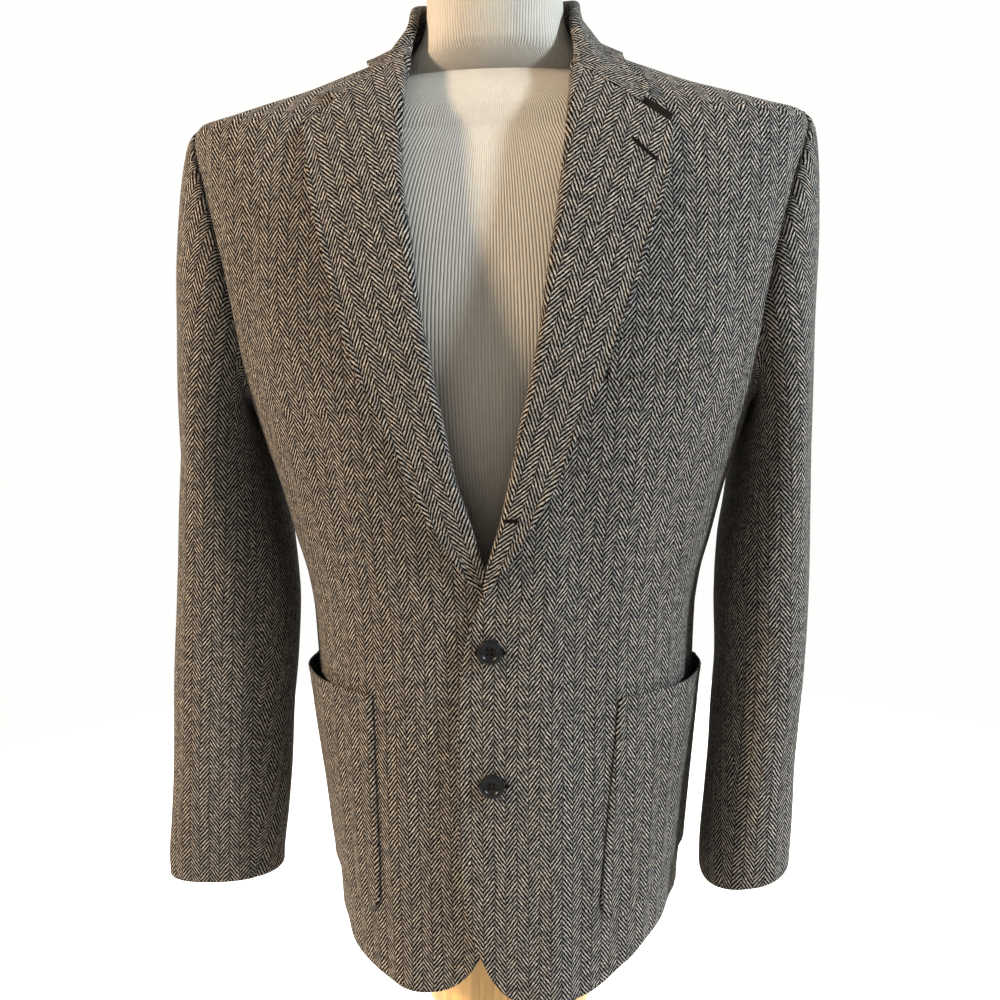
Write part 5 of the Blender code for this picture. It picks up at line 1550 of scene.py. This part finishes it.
def horn(trim):
    """The buttons: near black with a faint cloudy streak, polished but for fine scratches."""
    n = Finish("horn")
    place = n.place()
    cloud = n.noise(n.stretch(place, (1.0, 1.0, 0.35)), 260.0, 4.0, 0.6)
    colour = n.colours(n.ease(cloud, 0.40, 0.72), trim.button, toned(trim.button, 2.2))
    rub = n.noise(n.stretch(place, (0.3, 1.0, 2.0)), 1400.0, 3.0)
    n.bump(rub, 0.00003)
    n.finish(colour, n.line(rub, 0.18, 0.26), Specular_IOR_Level=0.3)


def linen(form):
    """The form's cover: upright ribs of plain linen round the form, wider ones on its neck, the ribs painted
    darker in their valleys (painted shade), and slubs.
    """
    n = Finish("ribbed_linen")
    place = n.place()
    x, y, z = n.add("SeparateXYZ", {0: place}).outputs
    turn = n.math("DIVIDE", n.math("ARCTAN2", y, x), 2 * math.pi)
    neck = n.math("GREATER_THAN", z, NECK_SEAM_HEIGHT)
    ribs = n.line(neck, -form.ribs / 2, float(form.ribs))
    sway = n.times(n.centred(n.noise(place, 70.0, 2.0)), 0.25)
    rib = n.hump(n.math("FRACT", n.plus(n.times(turn, ribs), sway)))
    weft = n.hump(n.math("FRACT", n.math("DIVIDE", z, 0.0011)))
    slub = n.noise(n.stretch(place, (1.0, 1.0, 0.15)), 420.0, 3.0, 0.6)
    # Painted shade: the ribs are darker towards their valleys; the slubs add tone of their own.
    tone = n.plus(n.times(rib, 0.5), n.times(slub, 0.6))
    colour = n.colours(n.ease(tone, 0.10, 0.95), toned(form.linen, 0.72), form.linen)
    worn = toned(form.linen, 0.82)
    colour = n.colours(n.ease(n.noise(place, 7.0, 3.0), 0.35, 0.75), colour, worn)
    height = n.plus(rib, n.line(weft, 0.25, n.times(slub, 0.4)))
    n.bump(height, 0.0004)
    n.finish(colour, 0.9, Sheen_Weight=0.05, Specular_IOR_Level=0.25)


def wood(form):
    """Varnished wood: straight grain up the post and across the base, fine pores, and a satin coat."""
    n = Finish("varnished_wood")
    place = n.place()
    upright = n.math("GREATER_THAN", n.add("SeparateXYZ", {0: place}).outputs[2], BASE_TOP)
    along = n.colours(upright, n.stretch(place, (0.05, 1.0, 0.12)), n.stretch(place, (1.0, 1.0, 0.04)))
    bent = n.noise(along, 16.0, 3.0, 0.5)
    ring = n.math("SINE", n.times(bent, 70.0))
    streak = n.noise(along, 160.0, 3.0, 0.6)
    pore = n.ease(n.noise(along, 700.0, 2.0), 0.55, 0.70)
    tone = n.plus(n.times(n.ease(ring, -1.0, 1.0), 0.45), n.times(streak, 0.6))
    colour = n.colours(n.ease(tone, 0.10, 0.90), toned(form.wood, 0.66), form.wood)
    colour = n.colours(n.times(pore, 0.35), colour, toned(form.wood, 0.36))
    n.bump(n.line(pore, -1.0, n.times(streak, 0.4)), 0.00012)
    n.finish(colour, n.line(pore, 0.2, 0.36), Coat_Weight=0.25, Coat_Roughness=0.28)


def floor_finish(stage):
    """A plain pale floor with the faintest cloudiness."""
    n = Finish("pale_floor")
    tint = n.noise(n.place(), 1.3, 2.0)
    n.finish(n.colours(tint, toned(stage.floor, 0.985), stage.floor), 0.85,
             Specular_IOR_Level=0.2)


# ---- the stage ----
def floor_disc():
    """A flat round floor under the stand."""
    turns = np.linspace(0, 2 * np.pi, FLOOR_SIDES, endpoint=False)
    points = np.stack([FLOOR_REACH * np.cos(turns), FLOOR_REACH * np.sin(turns), 0 * turns], axis=-1)
    mesh = bpy.data.meshes.new("floor")
    mesh.from_pydata(points.tolist(), [], [range(FLOOR_SIDES)])
    mesh.materials.append(bpy.data.materials["pale_floor"])
    return placed("floor", mesh)


def surrounding_light(front):
    """Light from all round, of strength 1 behind and this strength in front; the camera sees it as 1."""
    world = bpy.data.worlds.new("surrounding light")
    n = Nodes(world)
    background = n.tree.nodes["Background"]
    n.feed(background.inputs["Color"], (1.0, 0.995, 0.985))
    way = n.add("SeparateXYZ", {0: n.add("TexCoord").outputs["Generated"]})
    strength = n.add("MapRange", {"Value": way.outputs["Y"], "From Min": DIM_FROM_TO[0],
                                  "From Max": DIM_FROM_TO[1], "To Min": front, "To Max": 1.0})
    seen = n.add("LightPath").outputs["Is Camera Ray"]
    n.feed(background.inputs["Strength"], n.math("MAXIMUM", strength.outputs["Result"], seen))
    return world


def viewing_camera():
    """The camera, turned about Z, tipped down and rolled about its own view."""
    camera = bpy.data.cameras.new("camera")
    camera.lens, camera.sensor_width = CAMERA_LENS, CAMERA_SENSOR
    eye = placed("camera", camera)
    turn, down, roll = (math.radians(a) for a in (CAMERA_TURN, CAMERA_DOWN, CAMERA_ROLL))
    level = Vector((math.cos(turn), math.sin(turn), 0))
    ahead = Vector((-math.sin(turn) * math.cos(down), math.cos(turn) * math.cos(down), -math.sin(down)))
    up = level.cross(ahead)
    right = level * math.cos(roll) - up * math.sin(roll)
    over = level * math.sin(roll) + up * math.cos(roll)
    place = Vector((CAMERA_AWAY * math.sin(turn), -CAMERA_AWAY * math.cos(turn), CAMERA_HEIGHT))
    turned = Matrix((right, over, -ahead)).transposed().to_4x4()
    eye.matrix_world = Matrix.Translation(place + level * CAMERA_SIDE) @ turned
    return eye


# ---- settings and operators ----
def colour_setting(name, description, default):
    return bpy.props.FloatVectorProperty(name=name, description=description, default=default,
                                         subtype="COLOR", size=3, min=0.0, max=1.0)


def length_setting(name, description, default):
    return bpy.props.FloatProperty(name=name, description=description, default=default,
                                   unit="LENGTH", precision=5, min=0.0)


class ClothSettings(bpy.types.PropertyGroup):
    """Sizes and colours of the tweed."""
    column_width: length_setting("Column width", "Width of one column of the herringbone", 0.0090)
    line_pitch: length_setting("Line pitch", "Height from one light line to the next", 0.0043)
    lines_climbed: bpy.props.FloatProperty(name="Lines climbed", default=3.0,
                                           description="Lines that one line climbs across a column")
    threads: bpy.props.FloatProperty(name="Threads", description="Warp threads in a column", default=12.0)
    thread_pitch: length_setting("Thread pitch", "Height of one weft thread", 0.00105)
    light_share: bpy.props.FloatProperty(name="Light share", default=0.44, subtype="FACTOR",
                                         description="Share of the cloth that the light lines take")
    relief: length_setting("Relief", "How far the light lines stand up", 0.00035)
    light_yarn: colour_setting("Light yarn", "Main colour of the light lines", (0.400, 0.370, 0.325))
    grey_yarn: colour_setting("Grey yarn", "Second colour of the light lines", (0.270, 0.262, 0.248))
    dark_yarn: colour_setting("Dark yarn", "Main colour of the dark ground", (0.0040, 0.0033, 0.0028))
    brown_yarn: colour_setting("Brown yarn", "Second colour of the dark ground", (0.013, 0.008, 0.005))
    fleck: colour_setting("Fleck", "Colour of the scattered flecks", (0.110, 0.048, 0.024))


class TrimSettings(bpy.types.PropertyGroup):
    """Colours of the trims."""
    button: colour_setting("Button", "Ground colour of the buttons", (0.0050, 0.0054, 0.0058))
    thread: colour_setting("Thread", "Colour of the buttonholes and bars", (0.016, 0.011, 0.009))
    pocket_thread: colour_setting("Pocket thread", "Colour of the pockets' stitches", (0.150, 0.138, 0.118))
    stitch: length_setting("Stitch length", "Length of one of the pockets' stitches", 0.0030)
    felt: colour_setting("Felt", "Colour of the felt strip in the notch", (0.015, 0.012, 0.008))


class FormSettings(bpy.types.PropertyGroup):
    """Colours of the dress form."""
    linen: colour_setting("Linen", "Colour of the form's cover", (0.470, 0.445, 0.392))
    ribs: bpy.props.IntProperty(name="Ribs", description="Ribs of the linen round the torso", default=260)
    wood: colour_setting("Wood", "Colour of the post and the base", (0.640, 0.385, 0.115))


class StageSettings(bpy.types.PropertyGroup):
    """The floor and the light."""
    floor: colour_setting("Floor", "Colour of the floor", (0.90, 0.90, 0.895))
    air: bpy.props.FloatProperty(name="Room light", default=0.14,
                                 description="Strength of the soft light from the front; behind it is 1")
    lamps: bpy.props.FloatProperty(name="Lamps", description="Strength of the studio lamps", default=1.0)
    gamma: bpy.props.FloatProperty(name="Gamma", description="Under 1 deepens the shadows", default=0.84)


class JACKET_OT_finishes(bpy.types.Operator):
    """Makes the tweed, felt, thread, horn, linen, wood and floor finishes"""
    bl_idname = "jacket.finishes"
    bl_label = "Finishes"

    def execute(self, context):
        scene = context.scene
        tweed(scene.jacket_cloth)
        felt(scene.jacket_trim)
        thread("twisted_thread", scene.jacket_trim.thread)
        thread("pocket_thread", scene.jacket_trim.pocket_thread)
        horn(scene.jacket_trim)
        linen(scene.jacket_form)
        wood(scene.jacket_form)
        floor_finish(scene.jacket_stage)
        return {"FINISHED"}


class JACKET_OT_fronts(bpy.types.Operator):
    """Makes the two fronts, from the edge and roll line to the side seam and the shoulder"""
    bl_idname = "jacket.fronts"
    bl_label = "Fronts"

    def execute(self, context):
        for side, name in SIDE_NAME.items():
            _, _, grid, flat = front_surface(side)
            cloth_piece("front_" + name, grid, flat, WALL, side == RIGHT, ["form_torso"])
        return {"FINISHED"}


class JACKET_OT_sides_and_backs(bpy.types.Operator):
    """Makes the underarm panels and the two backs with the vent between them"""
    bl_idname = "jacket.sides_and_backs"
    bl_label = "Sides and backs"

    def execute(self, context):
        for side, name in SIDE_NAME.items():
            cloth_piece("side_" + name, *side_surface(side), WALL, side == RIGHT, ["cloth_front_" + name])
            cloth_piece("back_" + name, *back_surface(side), WALL, side == RIGHT, ["form_torso"])
        return {"FINISHED"}


class JACKET_OT_lapels(bpy.types.Operator):
    """Makes the two lapels, rolled back over the chest"""
    bl_idname = "jacket.lapels"
    bl_label = "Lapels"

    def execute(self, context):
        for side, name in SIDE_NAME.items():
            cloth_piece("lapel_" + name, *lapel_surface(side), WALL, side == RIGHT, ["cloth_front_" + name])
        return {"FINISHED"}


class JACKET_OT_collar(bpy.types.Operator):
    """Makes the collar, and the felt strip that shows in the left notch"""
    bl_idname = "jacket.collar"
    bl_label = "Collar"

    def execute(self, context):
        cloth_piece("collar", *collar_surface(), COLLAR_WALL, True, ["cloth_back_left", "cloth_back_right"])
        cloth_piece("throat_tab", *band_surface(THROAT_TAB, FELT_WALL, *TAB_GRID), FELT_WALL, False,
                    ["cloth_front_left"], finish="matted_felt")
        return {"FINISHED"}


class JACKET_OT_sleeves(bpy.types.Operator):
    """Makes the two-piece sleeves, from the armhole over the head to the cuff"""
    bl_idname = "jacket.sleeves"
    bl_label = "Sleeves"

    def execute(self, context):
        for side, name in SIDE_NAME.items():
            for half in SLEEVE_ENDS:
                cloth_piece(half + "_" + name, *sleeve_surface(side, half), WALL, side == RIGHT,
                            ["cloth_side_" + name])
        return {"FINISHED"}


class JACKET_OT_pockets(bpy.types.Operator):
    """Makes the patch pockets and the chest welt, with their weave matched to the fronts"""
    bl_idname = "jacket.pockets"
    bl_label = "Pockets"

    def execute(self, context):
        for side, name in SIDE_NAME.items():
            cloth_piece("pocket_" + name, *pocket_surface(side), POCKET_WALL, side == RIGHT,
                        ["cloth_front_" + name])
        grid, flat = band_surface(WELT, WELT_WALL, *WELT_GRID)
        cloth_piece("chest_welt", grid, flat + WELT_SHIFT, WELT_WALL, False, ["cloth_front_left"])
        return {"FINISHED"}


class JACKET_OT_buttons(bpy.types.Operator):
    """Makes the two four-hole buttons, the threads that hold them and the worked buttonholes"""
    bl_idname = "jacket.buttons"
    bl_label = "Buttons and buttonholes"

    def execute(self, context):
        _, _, front, _ = front_surface(LEFT)
        turned, _ = lapel_surface(LEFT)
        for number, height in enumerate(BUTTON_HEIGHTS, start=1):
            made = new_piece("horn_button_%d" % number, *button_mesh(height), "horn", sharp=60.0)
            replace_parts(made, "button_%d" % number)
            new_piece("button_thread_%d" % number, *button_thread(height), "twisted_thread")
            hole = buttonhole(front, nearest_cell(front, HOLE_ACROSS, height), 0.0, HOLE_LENGTH)
            new_piece("buttonhole_%d" % number, *hole, "twisted_thread")
        for name, across, height, outer, lean, length in LAPEL_HOLES:
            hole = buttonhole(turned, nearest_cell(turned, across, height, outer), lean, length)
            new_piece(name, *hole, "twisted_thread")
        return {"FINISHED"}


class JACKET_OT_stitching(bpy.types.Operator):
    """Makes the stitching round the pockets and the bar at the welt's outer end"""
    bl_idname = "jacket.stitching"
    bl_label = "Stitching"

    def execute(self, context):
        length = context.scene.jacket_trim.stitch
        for side, name in SIDE_NAME.items():
            grid, _ = pocket_surface(side)
            row, column = pocket_cell(*pocket_path(TOP_STITCH, STITCH_DROP))
            up = sample(normals_of(grid, side == RIGHT), row, column)
            path = sample(grid, row, column) + up * (POCKET_WALL / 2)
            new_piece("pocket_stitching_" + name, *stitches(path, up, length, length * STITCH_GAP),
                      "pocket_thread")
        grid, _ = band_surface(WELT, WELT_WALL, *WELT_GRID)
        row = np.linspace(*BAR_ROWS, 60)
        up = sample(normals_of(grid, False), row, BAR_COLUMN + 0 * row)
        path = sample(grid, row, BAR_COLUMN + 0 * row) + up * (WELT_WALL / 2)
        new_piece("welt_stitching", *stitches(path, up, 0.0022, 0.0010), "twisted_thread")
        return {"FINISHED"}


class JACKET_OT_form(bpy.types.Operator):
    """Makes the linen torso and neck, the turned post and the round base"""
    bl_idname = "jacket.form"
    bl_label = "Dress form"

    def execute(self, context):
        grid = torso_surface()
        made = new_piece("torso_cover", grid, capped_faces(*grid.shape[:2]), "ribbed_linen")
        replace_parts(made, "form_torso")
        for name, node, profile in TURNED:
            grid = turned_surface(profile, 120)
            faces = capped_faces(*grid.shape[:2], flip=True)
            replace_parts(new_piece(name, grid, faces, "varnished_wood", sharp=40.0), node)
        return {"FINISHED"}


class JACKET_OT_stage(bpy.types.Operator):
    """Makes the floor, the surrounding light, the lamps and the camera"""
    bl_idname = "jacket.stage"
    bl_label = "Stage, light and camera"

    def execute(self, context):
        settings = context.scene.jacket_stage
        floor_disc()
        context.scene.world = surrounding_light(settings.air)
        context.scene.view_settings.view_transform = "Standard"
        context.scene.view_settings.gamma = settings.gamma
        for name, place, aim, width, power, colour in LAMPS:
            light = bpy.data.lights.new(name, "AREA")
            light.shape = "SQUARE"
            light.size = width
            light.energy = power * settings.lamps
            light.color = colour
            lamp = placed(name, light)
            lamp.location = place
            way = Vector((0.0, 0.0, aim)) - Vector(place)
            lamp.rotation_euler = way.to_track_quat("-Z", "Y").to_euler()
        context.scene.camera = viewing_camera()
        return {"FINISHED"}


SETTINGS = (("jacket_cloth", ClothSettings), ("jacket_trim", TrimSettings), ("jacket_form", FormSettings),
            ("jacket_stage", StageSettings))
OPERATORS = (JACKET_OT_finishes, JACKET_OT_fronts, JACKET_OT_sides_and_backs, JACKET_OT_lapels,
             JACKET_OT_collar, JACKET_OT_sleeves, JACKET_OT_pockets, JACKET_OT_buttons,
             JACKET_OT_stitching, JACKET_OT_form, JACKET_OT_stage)


class JACKET_PT_panel(bpy.types.Panel):
    """Lists the settings and the pieces' buttons"""
    bl_idname = "JACKET_PT_panel"
    bl_label = "Tweed jacket"
    bl_space_type = "VIEW_3D"
    bl_region_type = "UI"
    bl_category = "Jacket"

    def draw(self, context):
        for name, group in SETTINGS:
            column = self.layout.column(align=True)
            column.label(text=group.__doc__)
            for key in group.__annotations__:
                column.prop(getattr(context.scene, name), key)
        for operator in OPERATORS:
            self.layout.operator(operator.bl_idname)


def register():
    """Registers the settings, the operators and the panel."""
    for name, group in SETTINGS:
        bpy.utils.register_class(group)
        setattr(bpy.types.Scene, name, bpy.props.PointerProperty(type=group))
    for operator in OPERATORS:
        bpy.utils.register_class(operator)
    bpy.utils.register_class(JACKET_PT_panel)


def unregister():
    """Takes back what register did."""
    bpy.utils.unregister_class(JACKET_PT_panel)
    for operator in reversed(OPERATORS):
        bpy.utils.unregister_class(operator)
    for name, group in reversed(SETTINGS):
        delattr(bpy.types.Scene, name)
        bpy.utils.unregister_class(group)


def main():
    register()
    bpy.ops.jacket.finishes()
    bpy.ops.jacket.fronts()
    bpy.ops.jacket.sides_and_backs()
    bpy.ops.jacket.lapels()
    bpy.ops.jacket.collar()
    bpy.ops.jacket.sleeves()
    bpy.ops.jacket.pockets()
    bpy.ops.jacket.buttons()
    bpy.ops.jacket.stitching()
    bpy.ops.jacket.form()
    bpy.ops.jacket.stage()


if __name__ == "__main__":
    main()
